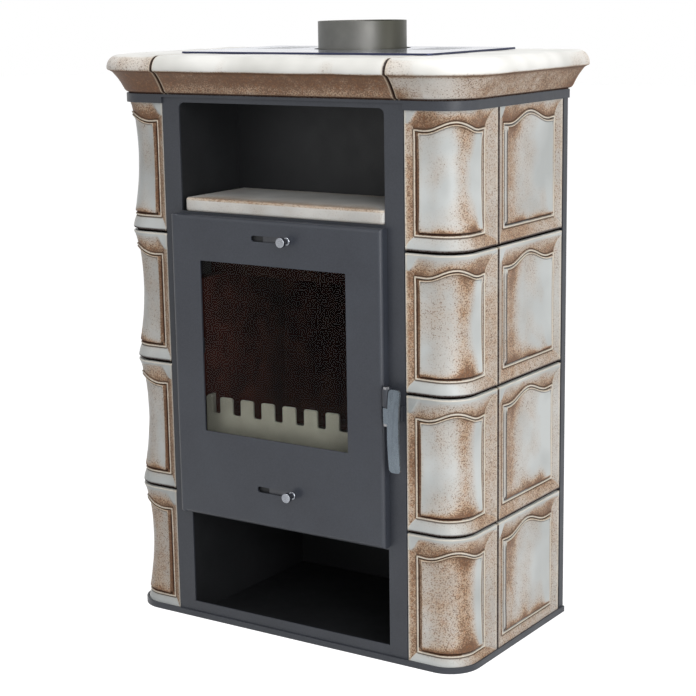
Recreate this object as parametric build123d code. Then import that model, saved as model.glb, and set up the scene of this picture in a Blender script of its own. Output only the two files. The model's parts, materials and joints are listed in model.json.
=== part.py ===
from build123d import *
import math
import os

# A wood stove clad in glazed tiles: steel front with a warming niche, a glazed
# door and a log store, four rows of tiles round each side, a moulded cornice.
#
# Working frame, millimetres: X to the right, Z up from the floor, Y to the rear
# with Y = 0 on the face of the steel front. save() moves every piece by
# -centre_y, so that the origin lies on the floor under the middle of the stove.

# ---- driving dimensions: the casing ---------------------------------------
front_half = 234.5        # half the width of the steel front
side_x = 334.5            # outer face of the side tiles
rear_y = 354.0            # outer face of the back
corner_r = 50.0           # plan radius of the tiled front corners
sheet = 2.0               # thin sheet: liners, niche, backing, back panel
plate = 3.0               # heavier sheet: front, shell, door, posts
fit_gap = 0.3             # general clearance between pieces that don't touch

# ---- tiles ----------------------------------------------------------------
row_pitch = 225.0
row_count = 4
joint_height = 4.0        # recessed strip between two rows
joint_inset = 6.0         # how far that strip lies behind the tile face
tile_depth = 36.0
corner_leg_y = 118.3      # rear end of a corner tile's side leg
upright_joint = 1.0       # open joint beside a tile
side_tile_width = 219.2
tile_inner_r = 14.0       # inside plan radius of a corner tile
corner_border_front = 18.0  # corner tile: border beside the sunk panel, front end
corner_border_rear = 34.0   # the same at its rear end
corner_head = 24.0        # border over the crown of its arch
corner_rise = 13.0        # crown above the low ends of that arch
side_border = 24.0        # side tile: border at both sides of the panel
side_head = 20.0
side_rise = 16.0
panel_foot = 27.0         # border under the panel of any tile
panel_edge_depth = 6.0    # panel depth at its foot and head
panel_depth = 12.0        # panel depth at mid height
pocket_depth = 12.0       # hollow at the back of a tile
pocket_rim = 14.0

# ---- base and top trays -----------------------------------------------------
lip = 3.0                 # thickness of the tray lips
lip_gap = 0.2             # between a lip and the tile face
base_lip_height = 10.0
band_height = 14.5        # dark band under the cornice
band_sheet = 3.5
band_step = 1.0           # lip over the steel front, below that front's top edge
flange_height = 22.0      # rear flange that the back panel is screwed to
flange_sheet = 2.5
tray_open_half = 200.0    # opening in the top tray
tray_open_front = 163.0
tray_open_margin = 14.0   # from that opening to the back

# ---- cornice ----------------------------------------------------------------
cornice_height = 64.5
cornice_overhang = 40.0   # beyond the tile face
cornice_corner_r = 100.0
cornice_foot = 34.0       # how far the foot lies behind the nose
nose_height = 21.5        # rounded nose at the top
nose_under = 7.0          # step under the nose
cornice_web = 60.0        # full-height part, measured in from the nose
shelf_thickness = 25.0    # flat part inside the web
cornice_cut_x = 225.0     # the two joints in the front run
cornice_joint = 3.0
cornice_open_half = 229.5
cornice_open_front = 93.0

# ---- cover plate and flue -----------------------------------------------------
cover_half = 245.0
cover_front = 62.0
cover_rear_margin = 9.0
cover_hole_r = 82.0
flue_y = 250.0
flue_r = 75.0
flue_wall = 2.5
flue_stand = 46.0         # its height above the cover plate
flue_flange_r = 92.0
flue_bolt_circle_r = 85.5
flue_bolts = 4
channel_half = 110.0      # smoke channel behind the niche
channel_front = 165.0
channel_top = 933.0

# ---- niche ----------------------------------------------------------------
niche_half = 200.4
niche_floor = 714.0
niche_top = 893.0
niche_depth = 159.0
niche_corner_r = 10.0
slab_thickness = 23.0
slab_overhang = 3.5
slab_gap_left = 9.0       # the slab lies against the niche's right side
slab_gap_right = 0.8
slab_corner_r = 7.0
slab_edge_r = 4.5

# ---- log store ----------------------------------------------------------------
store_half = 201.0
store_sill = 28.0
store_top = 190.0
store_rear = 333.0
store_margin = 3.0        # liner stands this far outside the opening

# ---- firebox --------------------------------------------------------------
shell_side_step = 0.4     # its side stands this far inside the niche's
shell_bottom = 233.0
shell_top = 708.0
shell_rear = 333.0
mouth_half = 170.0        # opening in the steel front
mouth_top = 670.0
brick = 25.0
brick_top = 600.0
brick_front = 6.0
shelf_level = 293.0       # underside of the plate that carries the floor bricks
shelf_sheet = 4.0
ledge = 10.0
grate_half_x = 110.0
grate_half_y = 85.0
grate_y = 150.0
grate_rim = 10.0
grate_bars = 9
grate_drop = 2.0          # grate below the top of the floor bricks
bar_depth = 14.0
baffle_thickness = 25.0
baffle_front = 90.0
retainer_y = 12.0
retainer_sheet = 4.0
retainer_top = 400.0
retainer_brick_gap = 5.0  # from its ends to the side bricks
tooth_pitch = 43.1
tooth_slot = 17.0
tooth_slot_x = -17.0      # middle of the slot that the pattern starts from
tooth_height = 29.0
tooth_r = 4.0
retainer_return = 22.0
pan_half = 120.0
pan_front = 14.0
pan_length = 262.0
pan_height = 44.0
pan_sheet = 1.5

# ---- door -----------------------------------------------------------------
door_left = -213.3
door_right = 204.0
door_bottom = 196.0
door_top = 710.0
door_rear = -0.6
door_depth = 18.4
edge_r = 7.0
pin_r = 3.0
pin_clearance = 0.05
pin_reach = 18.0          # pin beyond each side of its lug
lug_height = 8.0
lug_half = 4.5
lug_notch_gap = 0.5
lug_swing_gap = 1.1       # in front of the lug, whose arm turns into it as the door opens
lug_from_end = 40.0       # from the door's top and bottom edges
hinge_bar_web = 8.0       # solid door edge beside the hinge axis
window_left = -151.0
window_right = 137.5
window_bottom = 346.0
window_top = 636.0
glass_lap = 10.0
glass_thickness = 4.0
glass_tape = 1.0
frame_sheet = 2.0         # plate that closes the back of the door
channel_centre_x = 186.0  # seal channel
channel_inset_z = 25.5    # from the door's top and bottom edges
seal_width = 12.0
clip_sheet = 1.5
clip_width = 26.0
clip_length = 20.0
screw_r = 1.5
screw_clearance = 0.1
screw_head_r = 4.0
screw_head = 2.5
pad_r = 5.0
door_screw_x = 120.0
air_hole_r = 5.0
air_holes = 5
air_hole_pitch = 24.0

# ---- air slides -------------------------------------------------------------
slot_height = 10.0
slot_left = -45.0
slot_right = 32.0
upper_slot_z = 679.5
lower_slot_z = 259.0
slide_sheet = 2.0
slide_half_height = 12.0
slide_half_length = 50.0
guide_height = 2.7
neck_r = 4.0
collar_r = 6.5
collar_length = 3.2
waist_r = 4.8
knob_r = 8.25
knob_head = 8.0
knob_length = 21.0        # from the door face

# ---- handle -----------------------------------------------------------------
handle_x = 212.6          # axis of the handle bolt
handle_y = -21.2
barrel_r = 6.0
lever_left = 219.6
lever_width = 20.5
lever_bottom = 327.5
lever_top = 461.5
lever_sheet = 4.0
lever_end_y = -24.0       # middle of the bar at its two ends
lever_bow = 5.5
lever_corner_r = 6.0
tab_bottom = 405.5
tab_height = 25.5
bracket_height = 28.0
bracket_rear = -5.0       # rear edge of its foot on the door's side
bracket_gap = 1.0
bolt_clearance = 0.05
bolt_head_r = 5.2
bolt_head = 4.0
finger_offset = 6.5       # from the bolt's axis to the latch finger
finger_width = 4.0
finger_rear = -5.0
keeper_offset = 15.0      # from the bolt's axis to the keeper's ear
keeper_depth = 7.0
keeper_foot = 6.5

# ---- casing screws ----------------------------------------------------------
m5_r = 2.5
m5_head_r = 4.5
m5_hole_r = 2.7
back_screw_xs = (-240.0, -80.0, 80.0, 240.0)
louvre_length = 70.0
louvre_height = 6.0
louvre_columns = 4
louvre_rows = 4
louvre_pitch_x = 120.0
louvre_pitch_z = 18.0
louvre_levels = (60.0, 760.0)

# ---- worked out from them -----------------------------------------------------
stack_top = sheet + row_count * row_pitch
band_top = stack_top + band_sheet
cornice_top = band_top + cornice_height
flue_top = cornice_top + plate + flue_stand
centre_y = (rear_y - cornice_overhang) / 2.0
band_out = lip + lip_gap
tray_half = side_x + band_out
tile_height = row_pitch - joint_height
tile_back_x = side_x - tile_depth
side_tile_front = corner_leg_y + upright_joint
side_tile_rear = side_tile_front + side_tile_width
post_front = side_tile_rear + upright_joint
panel_rear_y = rear_y - flange_sheet
panel_front_y = panel_rear_y - sheet
shell_half = niche_half - shell_side_step
shell_in_half = shell_half - plate
retainer_half = shell_in_half - brick - retainer_brick_gap
shell_in_rear = shell_rear - plate
shell_floor = shell_bottom + plate
mouth_bottom = shell_floor
brick_floor = shelf_level + shelf_sheet
floor_top = brick_floor + brick
door_front = door_rear - door_depth
skin_rear = door_front + plate
glass_front = skin_rear + glass_tape
glass_rear = glass_front + glass_thickness
hinge_bar_r = door_depth / 2.0
hinge_x = door_left + hinge_bar_r
hinge_y = door_rear - door_depth / 2.0
lug_levels = (door_bottom + lug_from_end, door_top - lug_from_end - lug_height)
neck_x = slot_right - slot_height / 2.0
slide_travel = neck_x - slot_left - slot_height / 2.0


# ---- small helpers ------------------------------------------------------------
def block(x0, x1, y0, y1, z0, z1):
    """A box between two opposite corners."""
    middle = Pos((x0 + x1) / 2, (y0 + y1) / 2, (z0 + z1) / 2)
    return middle * Box(x1 - x0, y1 - y0, z1 - z0)


def rod_z(x, y, z0, z1, radius):
    """A round bar along Z."""
    return Pos(x, y, (z0 + z1) / 2) * Cylinder(radius, z1 - z0)


def rod_y(x, z, y0, y1, radius):
    """A round bar along Y."""
    return Pos(x, (y0 + y1) / 2, z) * Rot(90, 0, 0) * Cylinder(radius, y1 - y0)


def round_block(x0, x1, y0, y1, z0, z1, radius):
    """A box whose four edges along Y are rounded."""
    solid = block(x0, x1, y0, y1, z0, z1)
    return fillet(solid.edges().filter_by(Axis.Y), radius)


def slot_block(x0, x1, y0, y1, z, height):
    """A slot with round ends, cut through along Y."""
    flat = block(x0 + height / 2, x1 - height / 2, y0, y1, z - height / 2, z + height / 2)
    ends = rod_y(x0 + height / 2, z, y0, y1, height / 2)
    return flat + ends + rod_y(x1 - height / 2, z, y0, y1, height / 2)


def frame_block(outer, hole, y0, y1):
    """A flat rectangular ring; outer and hole are (x0, x1, z0, z1)."""
    ring = block(outer[0], outer[1], y0, y1, outer[2], outer[3])
    return ring - block(hole[0], hole[1], y0 - 1, y1 + 1, hole[2], hole[3])


def grown(rect, margin):
    """A rectangle (x0, x1, z0, z1) grown by a margin on each side."""
    return (rect[0] - margin, rect[1] + margin, rect[2] - margin, rect[3] + margin)


def plan_block(half, front, rear, radius, z0, z1):
    """An upright block with its two front corners rounded in plan."""
    face = Pos(0, (front + rear) / 2) * Rectangle(2 * half, rear - front)
    face = fillet(face.vertices().group_by(Axis.Y)[0], radius)
    return Pos(0, 0, z0) * extrude(face, amount=z1 - z0)


def mirrored(shape):
    """The same piece on the other side of the stove."""
    return mirror(shape, about=Plane.YZ)


def joined(shapes):
    """Separate solids kept together in one node."""
    solids = []
    for shape in shapes:
        solids.extend(shape.solids())
    return Compound(children=solids)


def open_box(x0, x1, y0, y1, z0, z1, wall):
    """A sheet box that is open to the front."""
    inside = block(x0 + wall, x1 - wall, y0 - 1, y1 - wall, z0 + wall, z1 - wall)
    return block(x0, x1, y0, y1, z0, z1) - inside


# ---- casing -------------------------------------------------------------------
def tray_plan(inset, z0, z1, rear):
    """The trays' outline, moved in by inset at the front and sides."""
    radius = corner_r + band_out - inset
    return plan_block(tray_half - inset, -band_out + inset, rear, radius, z0, z1)


def screw_levels():
    """Heights of the screws in the two rear flanges."""
    return (sheet + flange_height / 2, stack_top - flange_height / 2)


def rear_flange(z0):
    """Upright flange at the back of a tray, with the screw holes in it."""
    half = tile_back_x - fit_gap
    flange = block(-half, half, panel_front_y - flange_sheet, panel_front_y, z0, z0 + flange_height)
    for x in back_screw_xs:
        z = z0 + flange_height / 2
        flange -= rod_y(x, z, panel_front_y - flange_sheet - 1, panel_front_y + 1, m5_hole_r)
    return flange


def base_tray():
    floor = tray_plan(0, 0, sheet, rear_y)
    rim = tray_plan(0, 0, base_lip_height, rear_y)
    rim -= tray_plan(lip, -1, base_lip_height + 1, rear_y + 10)
    return floor + rim + rear_flange(sheet)


def top_tray():
    deck = tray_plan(0, stack_top, band_top, rear_y)
    rim = tray_plan(0, band_top - band_height, band_top, rear_y)
    rim -= tray_plan(lip, band_top - band_height - 1, band_top + 1, rear_y + 10)
    rim -= block(-front_half, front_half, -2 * band_out, 0, band_top - band_height - 1,
                 stack_top - band_step)
    tray = deck + rim
    tray -= block(-tray_open_half, tray_open_half, tray_open_front, rear_y - tray_open_margin,
                  stack_top - 1, band_top + 1)
    return tray + rear_flange(stack_top - flange_height)


def front_frame():
    """Steel front: niche, firebox and log-store openings, folded side returns."""
    front = block(-front_half, front_half, 0, plate, sheet, stack_top)
    niche = block(-niche_half, niche_half, -1, plate + 1, niche_floor, niche_top)
    crown = niche.edges().filter_by(Axis.Y).group_by(Axis.Z)[-1]
    front -= fillet(crown, niche_corner_r)
    front -= block(-mouth_half, mouth_half, -1, plate + 1, mouth_bottom, mouth_top)
    front -= block(-store_half, store_half, -1, plate + 1, store_sill, store_top)
    fold = block(front_half - plate, front_half, plate, tile_depth, sheet, stack_top)
    return front + fold + mirrored(fold)


def rear_posts():
    """Two angles that close the casing between the side tiles and the back."""
    side = block(side_x - plate, side_x, post_front, rear_y, sheet, stack_top)
    back = block(tile_back_x, side_x - plate, panel_rear_y, rear_y, sheet, stack_top)
    post = side + back
    return joined([mirrored(post), post])


def backing_panels():
    """Sheets behind the tiles, folded round each front corner."""
    outer = plan_block(tile_back_x, tile_depth, side_tile_rear, tile_inner_r + fit_gap,
                       sheet, stack_top)
    inner = plan_block(tile_back_x - sheet, tile_depth + sheet, side_tile_rear + 10,
                       tile_inner_r + fit_gap - sheet, sheet - 1, stack_top + 1)
    bend = outer - inner
    right = bend & block(front_half - plate, tile_back_x + 1, 0, rear_y, 0, band_top)
    return joined([mirrored(right), right])


def back_panel():
    half = side_x - plate - fit_gap
    panel = block(-half, half, panel_front_y, panel_rear_y, sheet, stack_top)
    for z in screw_levels():
        for x in back_screw_xs:
            panel -= rod_y(x, z, panel_front_y - 1, panel_rear_y + 1, m5_hole_r)
    for level in louvre_levels:
        for column in range(louvre_columns):
            for row in range(louvre_rows):
                x = (column - (louvre_columns - 1) / 2) * louvre_pitch_x
                z = level + row * louvre_pitch_z
                panel -= slot_block(x - louvre_length / 2, x + louvre_length / 2,
                                    panel_front_y - 1, panel_rear_y + 1, z, louvre_height)
    return panel


def casing_screws():
    """Pan-head screws of one size: the back panel's, then the flue's."""
    screws = []
    for z in screw_levels():
        for x in back_screw_xs:
            shank = rod_y(x, z, panel_front_y - 2 * flange_sheet, panel_rear_y, m5_r)
            screws.append(shank + rod_y(x, z, panel_rear_y, rear_y, m5_head_r))
    for x, y in flue_bolt_places():
        head_z = channel_top + plate
        shank = rod_z(x, y, channel_top - 2 * flange_sheet, head_z, m5_r)
        screws.append(shank + rod_z(x, y, head_z, head_z + flange_sheet, m5_head_r))
    return joined(screws)


def flue_bolt_places():
    """Centres of the screws round the flue's flange."""
    places = []
    for index in range(flue_bolts):
        angle = math.radians(45 + 360 * index / flue_bolts)
        x = flue_bolt_circle_r * math.cos(angle)
        places.append((x, flue_y + flue_bolt_circle_r * math.sin(angle)))
    return places


# ---- tiles --------------------------------------------------------------------
def hollow_profile(head_border):
    """Section of the sunk panel: (depth behind the face, height over the tile's foot)."""
    foot = panel_foot
    head = tile_height - head_border
    line = Line((panel_edge_depth, head), (-1, head)) + Line((-1, head), (-1, foot))
    line += Line((-1, foot), (panel_edge_depth, foot))
    middle = (foot + head) / 2
    line += ThreePointArc((panel_edge_depth, foot), (panel_depth, middle),
                          (panel_edge_depth, head))
    return make_face(line)


def arch_face(left, right, head_border, rise):
    """Outline of a panel with an ogee arch, drawn in (along, height)."""
    foot = panel_foot
    crown = tile_height - head_border
    low = crown - rise
    middle = (left + right) / 2
    quarter = (right - left) / 4
    line = Line((left, low), (left, foot)) + Line((left, foot), (right, foot))
    line += Line((right, foot), (right, low))
    line += Spline([(right, low), (middle + quarter, low + 0.45 * rise), (middle, crown),
                    (middle - quarter, low + 0.45 * rise), (left, low)],
                   tangents=[(-1, 0.1), (-1, -0.1)])
    return make_face(line)


def side_tile_right():
    """One side tile in the bottom row of the right side."""
    y0 = side_tile_front
    y1 = side_tile_rear
    z0 = sheet
    body = block(tile_back_x, side_x, y0, y1, z0, z0 + tile_height)
    profile = Plane((side_x, y0 + side_border, z0), x_dir=(-1, 0, 0), z_dir=(0, 1, 0))
    hollow = extrude(profile * hollow_profile(side_head), amount=side_tile_width - 2 * side_border)
    arch = Plane((side_x + 2, y0, z0), x_dir=(0, 1, 0), z_dir=(1, 0, 0))
    outline = arch_face(side_border, side_tile_width - side_border, side_head, side_rise)
    window = extrude(arch * outline, amount=-(panel_depth + 4))
    body -= hollow & window
    return body - block(tile_back_x - 1, tile_back_x + pocket_depth, y0 + pocket_rim,
                        y1 - pocket_rim, z0 + pocket_rim, z0 + tile_height - pocket_rim)


def corner_tile_right():
    """One corner tile in the bottom row, wrapped round the right front corner."""
    x0 = front_half + fit_gap
    z0 = sheet
    z1 = z0 + tile_height
    outer = plan_block(side_x, 0, rear_y, corner_r, z0, z1)
    inner = plan_block(tile_back_x, tile_depth, rear_y + 10, tile_inner_r, z0 - 1, z1 + 1)
    body = (outer - inner) & block(x0, side_x + 1, -1, corner_leg_y, z0, z1)
    body -= corner_hollow(x0, z0)
    front_pocket = block(x0 + pocket_rim, tile_back_x - pocket_rim, tile_depth - pocket_depth,
                         tile_depth + 1, z0 + pocket_rim, z1 - pocket_rim)
    side_pocket = block(tile_back_x - 1, tile_back_x + pocket_depth, tile_depth + pocket_rim,
                        corner_leg_y - pocket_rim, z0 + pocket_rim, z1 - pocket_rim)
    return body - front_pocket - side_pocket


def corner_hollow(x0, z0):
    """The sunk panel of a corner tile: front run, bend and side run."""
    bend_x = side_x - corner_r
    start = x0 + corner_border_front
    face = hollow_profile(corner_head)
    front = Plane((start, 0, z0), x_dir=(0, 1, 0), z_dir=(1, 0, 0))
    front_run = extrude(front * face, amount=bend_x - start)
    side = Plane((side_x, corner_r, z0), x_dir=(-1, 0, 0), z_dir=(0, 1, 0))
    side_run = extrude(side * face, amount=corner_leg_y - corner_border_rear - corner_r)
    turn = Plane((bend_x, 0, z0), x_dir=(0, 1, 0), z_dir=(1, 0, 0)) * face
    bend = revolve(turn, Axis((bend_x, corner_r, 0), (0, 0, 1)), 90)
    hollow = front_run + bend + side_run
    half = math.sqrt(0.5)
    eye = Plane((side_x, 0, z0), x_dir=(half, half, 0), z_dir=(half, -half, 0))
    left = -(side_x - start) * half
    right = (corner_leg_y - corner_border_rear) * half
    outline = arch_face(left, right, corner_head, corner_rise)
    window = extrude(eye * outline, amount=-(side_x - x0))
    return hollow & window


def joint_strips():
    """Dark strips on top of each row, set back from the tile faces."""
    strips = []
    for row in range(row_count):
        z0 = sheet + row * row_pitch + tile_height
        z1 = z0 + joint_height
        outer = plan_block(side_x - joint_inset, joint_inset, side_tile_rear,
                           corner_r - joint_inset, z0, z1)
        inner = plan_block(tile_back_x + fit_gap, tile_depth - fit_gap, side_tile_rear + 10,
                           tile_inner_r, z0 - 1, z1 + 1)
        band = outer - inner
        right = band & block(front_half + fit_gap, side_x, 0, rear_y, z0, z1)
        strips.append(right)
        strips.append(mirrored(right))
    return joined(strips)


# ---- cornice --------------------------------------------------------------------
def moulding_face():
    """Cornice section: (distance behind the nose, height over the band)."""
    top = cornice_height
    under = top - nose_height
    nose_r = nose_height / 2
    line = Line((cornice_web, 0), (cornice_foot, 0))
    line += ThreePointArc((cornice_foot, 0), (cornice_foot - 2.0, 2.5), (cornice_foot, 5.0))
    line += Spline([(cornice_foot, 5.0), (cornice_foot - 5.0, 0.52 * under),
                    (nose_under + 3.0, under - 3.0)], tangents=[(0.1, 1), (-1, 0.6)])
    line += Line((nose_under + 3.0, under - 3.0), (nose_under, under))
    line += ThreePointArc((nose_under, under), (0, under + nose_r), (nose_r, top))
    line += Line((nose_r, top), (cornice_web, top)) + Line((cornice_web, top), (cornice_web, 0))
    return make_face(line)


def cornice_run():
    """The whole cornice before it is cut into its three pieces."""
    nose_x = side_x + cornice_overhang
    front_y = -cornice_overhang
    bend_x = nose_x - cornice_corner_r
    bend_y = front_y + cornice_corner_r
    face = moulding_face()
    front = Plane((0, front_y, band_top), x_dir=(0, 1, 0), z_dir=(1, 0, 0)) * face
    front_run = extrude(front, amount=bend_x)
    turn = Plane((bend_x, front_y, band_top), x_dir=(0, 1, 0), z_dir=(1, 0, 0)) * face
    bend = revolve(turn, Axis((bend_x, bend_y, 0), (0, 0, 1)), 90)
    side = Plane((nose_x, bend_y, band_top), x_dir=(-1, 0, 0), z_dir=(0, 1, 0)) * face
    side_run = extrude(side, amount=rear_y - bend_y)
    shelf = plan_block(nose_x - cornice_web, front_y + cornice_web, rear_y,
                       cornice_corner_r - cornice_web, cornice_top - shelf_thickness, cornice_top)
    shelf -= block(-cornice_open_half, cornice_open_half, cornice_open_front, rear_y + 1,
                   band_top, cornice_top + 1)
    right = front_run + bend + side_run + (shelf & block(0, nose_x, front_y, rear_y, 0, flue_top))
    return right + mirrored(right)


def cornice_slice(run, x0, x1):
    return run & block(x0, x1, -2 * cornice_overhang, rear_y + 1, 0, flue_top)


# ---- top and flue ---------------------------------------------------------------
def top_cover_plate():
    """Thin plate on the cornice, with warm-air slots, the flue's hole and a rear apron."""
    cover = round_block_z(cover_half, cover_front, rear_y - cover_rear_margin,
                          cornice_top, cornice_top + plate, niche_corner_r)
    cover -= rod_z(0, flue_y, cornice_top - 1, cornice_top + plate + 1, cover_hole_r)
    slot_y0 = flue_y - 2.5 * louvre_pitch_z
    for row in range(6):
        y = slot_y0 + row * louvre_pitch_z
        slot = block(cover_hole_r + 35, cover_hole_r + 35 + louvre_length, y - louvre_height / 2,
                     y + louvre_height / 2, cornice_top - 1, cornice_top + plate + 1)
        cover -= slot
        cover -= mirrored(slot)
    apron_half = cornice_open_half - fit_gap
    apron_rear = rear_y - cover_rear_margin
    return cover + block(-apron_half, apron_half, apron_rear - plate, apron_rear, band_top,
                         cornice_top)


def round_block_z(half, front, rear, z0, z1, radius):
    """A flat plate with four rounded corners in plan."""
    solid = block(-half, half, front, rear, z0, z1)
    return fillet(solid.edges().filter_by(Axis.Z), radius)


def smoke_channel():
    """Box duct from the firebox, behind the niche, up to the flue."""
    duct = block(-channel_half, channel_half, channel_front, shell_rear, shell_top, channel_top)
    duct -= block(-channel_half + plate, channel_half - plate, channel_front + plate,
                  shell_rear - plate, shell_top - 1, channel_top - plate)
    duct -= rod_z(0, flue_y, channel_top - plate - 1, channel_top + 1, flue_r - flue_wall)
    for x, y in flue_bolt_places():
        duct -= rod_z(x, y, channel_top - plate - 1, channel_top + 1, m5_hole_r)
    return duct


def flue_spigot():
    """Round flue outlet with a screwed flange."""
    tube = rod_z(0, flue_y, channel_top, flue_top, flue_r)
    tube += rod_z(0, flue_y, channel_top, channel_top + plate, flue_flange_r)
    tube -= rod_z(0, flue_y, channel_top - 1, flue_top + 1, flue_r - flue_wall)
    for x, y in flue_bolt_places():
        tube -= rod_z(x, y, channel_top - 1, channel_top + plate + 1, m5_hole_r)
    return tube


# ---- niche and log store ----------------------------------------------------------
def niche_box():
    return open_box(-niche_half - sheet, niche_half + sheet, plate, niche_depth + sheet,
                    niche_floor - sheet, niche_top + sheet, sheet)


def niche_shelf_tile():
    """Glazed slab on the niche floor, standing out of the front."""
    slab = block(-niche_half + slab_gap_left, niche_half - slab_gap_right, -slab_overhang,
                 niche_depth - 1, niche_floor, niche_floor + slab_thickness)
    upright = slab.edges().filter_by(Axis.Z).group_by(Axis.Y)[0]
    slab = fillet(upright, slab_corner_r)
    faces = slab.faces().sort_by(Axis.Z)
    return fillet(faces[0].edges() + faces[-1].edges(), slab_edge_r)


def log_store_liner():
    half = store_half + store_margin + sheet
    return open_box(-half, half, plate, store_rear, sheet, store_top + 2 * sheet, sheet)


# ---- firebox ------------------------------------------------------------------
def firebox_shell():
    """Welded steel firebox with the plate that carries the floor bricks."""
    shell = open_box(-shell_half, shell_half, plate, shell_rear, shell_bottom, shell_top, plate)
    shell -= block(-channel_half + plate, channel_half - plate, channel_front + plate,
                   shell_in_rear, shell_top - plate - 1, shell_top + 1)
    shelf = block(-shell_in_half, shell_in_half, plate, shell_in_rear, shelf_level, brick_floor)
    shelf -= block(-grate_half_x + ledge, grate_half_x - ledge, grate_y - grate_half_y + ledge,
                   grate_y + grate_half_y - ledge, shelf_level - 1, brick_floor + 1)
    return shell + shelf


def firebrick_right():
    return block(shell_in_half - brick, shell_in_half, brick_front, shell_in_rear, brick_floor,
                 brick_top)


def firebrick_back():
    half = shell_in_half - brick
    return block(-half, half, shell_in_rear - brick, shell_in_rear, brick_floor, brick_top)


def firebrick_floor():
    half = shell_in_half - brick
    floor = block(-half, half, brick_front, shell_in_rear - brick, brick_floor, floor_top)
    return floor - block(-grate_half_x - fit_gap, grate_half_x + fit_gap,
                         grate_y - grate_half_y - fit_gap, grate_y + grate_half_y + fit_gap,
                         brick_floor - 1, floor_top + 1)


def baffle_plate():
    half = shell_in_half - fit_gap
    return block(-half, half, baffle_front, shell_in_rear, brick_top, brick_top + baffle_thickness)


def grate():
    """Cast grate: a deep rim with bars from front to back."""
    top = floor_top - grate_drop
    y0 = grate_y - grate_half_y
    y1 = grate_y + grate_half_y
    casting = block(-grate_half_x, grate_half_x, y0, y1, brick_floor, top)
    casting -= block(-grate_half_x + grate_rim, grate_half_x - grate_rim, y0 + grate_rim,
                     y1 - grate_rim, brick_floor - 1, top + 1)
    inside = 2 * (grate_half_x - grate_rim)
    pitch = inside / (grate_bars + 1)
    for index in range(grate_bars):
        x = -grate_half_x + grate_rim + pitch * (index + 1)
        casting += block(x - pitch / 4, x + pitch / 4, y0 + grate_rim - 1, y1 - grate_rim + 1,
                         top - bar_depth, top)
    return casting


def log_retainer():
    """Castellated plate that keeps the logs off the glass."""
    y0 = retainer_y
    y1 = y0 + retainer_sheet
    guard = block(-retainer_half, retainer_half, y0, y1, floor_top, retainer_top)
    low = retainer_top - tooth_height
    slots = int((retainer_half - abs(tooth_slot_x) - tooth_slot) / tooth_pitch)
    for index in range(-slots, slots + 1):
        x = tooth_slot_x + index * tooth_pitch
        slot = block(x - tooth_slot / 2, x + tooth_slot / 2, y0 - 1, y1 + 1, low, retainer_top + 1)
        guard -= fillet(slot.edges().filter_by(Axis.Y).group_by(Axis.Z)[0], tooth_r)
    tops = guard.edges().filter_by(Axis.Y).group_by(Axis.Z)[-1]
    guard = fillet(tops, tooth_r)
    end = block(retainer_half - retainer_sheet, retainer_half, y1, y1 + retainer_return, floor_top,
                retainer_top)
    return guard + end + mirrored(end)


def ash_pan():
    pan = block(-pan_half, pan_half, pan_front, pan_front + pan_length, shell_floor,
                shell_floor + pan_height)
    pan -= block(-pan_half + pan_sheet, pan_half - pan_sheet, pan_front + pan_sheet,
                 pan_front + pan_length - pan_sheet, shell_floor + pan_sheet,
                 shell_floor + pan_height + 1)
    return pan


# ---- door -----------------------------------------------------------------------
window = (window_left, window_right, window_bottom, window_top)
glass_rect = grown(window, glass_lap)
channel_mid = (-channel_centre_x, channel_centre_x, door_bottom + channel_inset_z,
               door_top - channel_inset_z)
seal_outer = grown(channel_mid, seal_width / 2)
seal_inner = grown(channel_mid, -seal_width / 2)


def hinge_levels(level):
    """Lower and upper end of the hinge pin in the lug that starts at level."""
    return level - pin_reach, level + lug_height + pin_reach


def door_panel():
    """Door casting: smooth front, folded edges, round hinge edge."""
    body = block(hinge_x, door_right, door_front, door_rear, door_bottom, door_top)
    rim = body.faces().sort_by(Axis.Y)[0].edges()
    rim = ShapeList([edge for edge in rim if edge.center().X > hinge_x + 1])
    body = fillet(rim, edge_r)
    bar = rod_z(hinge_x, hinge_y, door_bottom, door_top, hinge_bar_r)
    body += chamfer(bar.edges().filter_by(GeomType.CIRCLE), 1.5)
    wall = plate
    pocket = block(hinge_x + hinge_bar_web, door_right - wall, skin_rear, door_rear + 1,
                   door_bottom + wall, door_top - wall)
    body -= pocket
    body -= round_block(window_left, window_right, door_front - 1, skin_rear + 1, window_bottom,
                        window_top, 2.0)
    for z in (upper_slot_z, lower_slot_z):
        body -= slot_block(slot_left, slot_right, door_front - 1, skin_rear + 1, z, slot_height)
    for level in lug_levels:
        body -= block(hinge_x - hinge_bar_r - 1, hinge_x + lug_half + lug_notch_gap,
                      hinge_y - lug_half - lug_swing_gap, door_rear + 1,
                      level - lug_notch_gap, level + lug_height + lug_notch_gap)
    lower, upper = lug_levels
    bore_r = pin_r + pin_clearance
    body -= rod_z(hinge_x, hinge_y, door_bottom - 1, hinge_levels(lower)[1] + lug_notch_gap, bore_r)
    body -= rod_z(hinge_x, hinge_y, hinge_levels(upper)[0] - lug_notch_gap, door_top + 1, bore_r)
    pads = [rod_y(x, z, skin_rear, glass_rear - frame_sheet, pad_r) for x, z in door_screw_places()]
    for pad in pads:
        body += pad
    for x, z in door_screw_places():
        body -= rod_y(x, z, skin_rear, door_rear, screw_r + screw_clearance)
    return body


def hinge_lugs():
    """Two eyes on the steel front that reach into the door's hinge edge."""
    lugs = []
    for level in lug_levels:
        arm = block(hinge_x - lug_half, hinge_x + lug_half, hinge_y, 0, level, level + lug_height)
        lug = arm + rod_z(hinge_x, hinge_y, level, level + lug_height, lug_half)
        lugs.append(lug - rod_z(hinge_x, hinge_y, level - 1, level + lug_height + 1, pin_r))
    return joined(lugs)


def hinge_pins():
    pins = []
    for level in lug_levels:
        low, high = hinge_levels(level)
        pins.append(rod_z(hinge_x, hinge_y, low, high, pin_r))
    return joined(pins)


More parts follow.
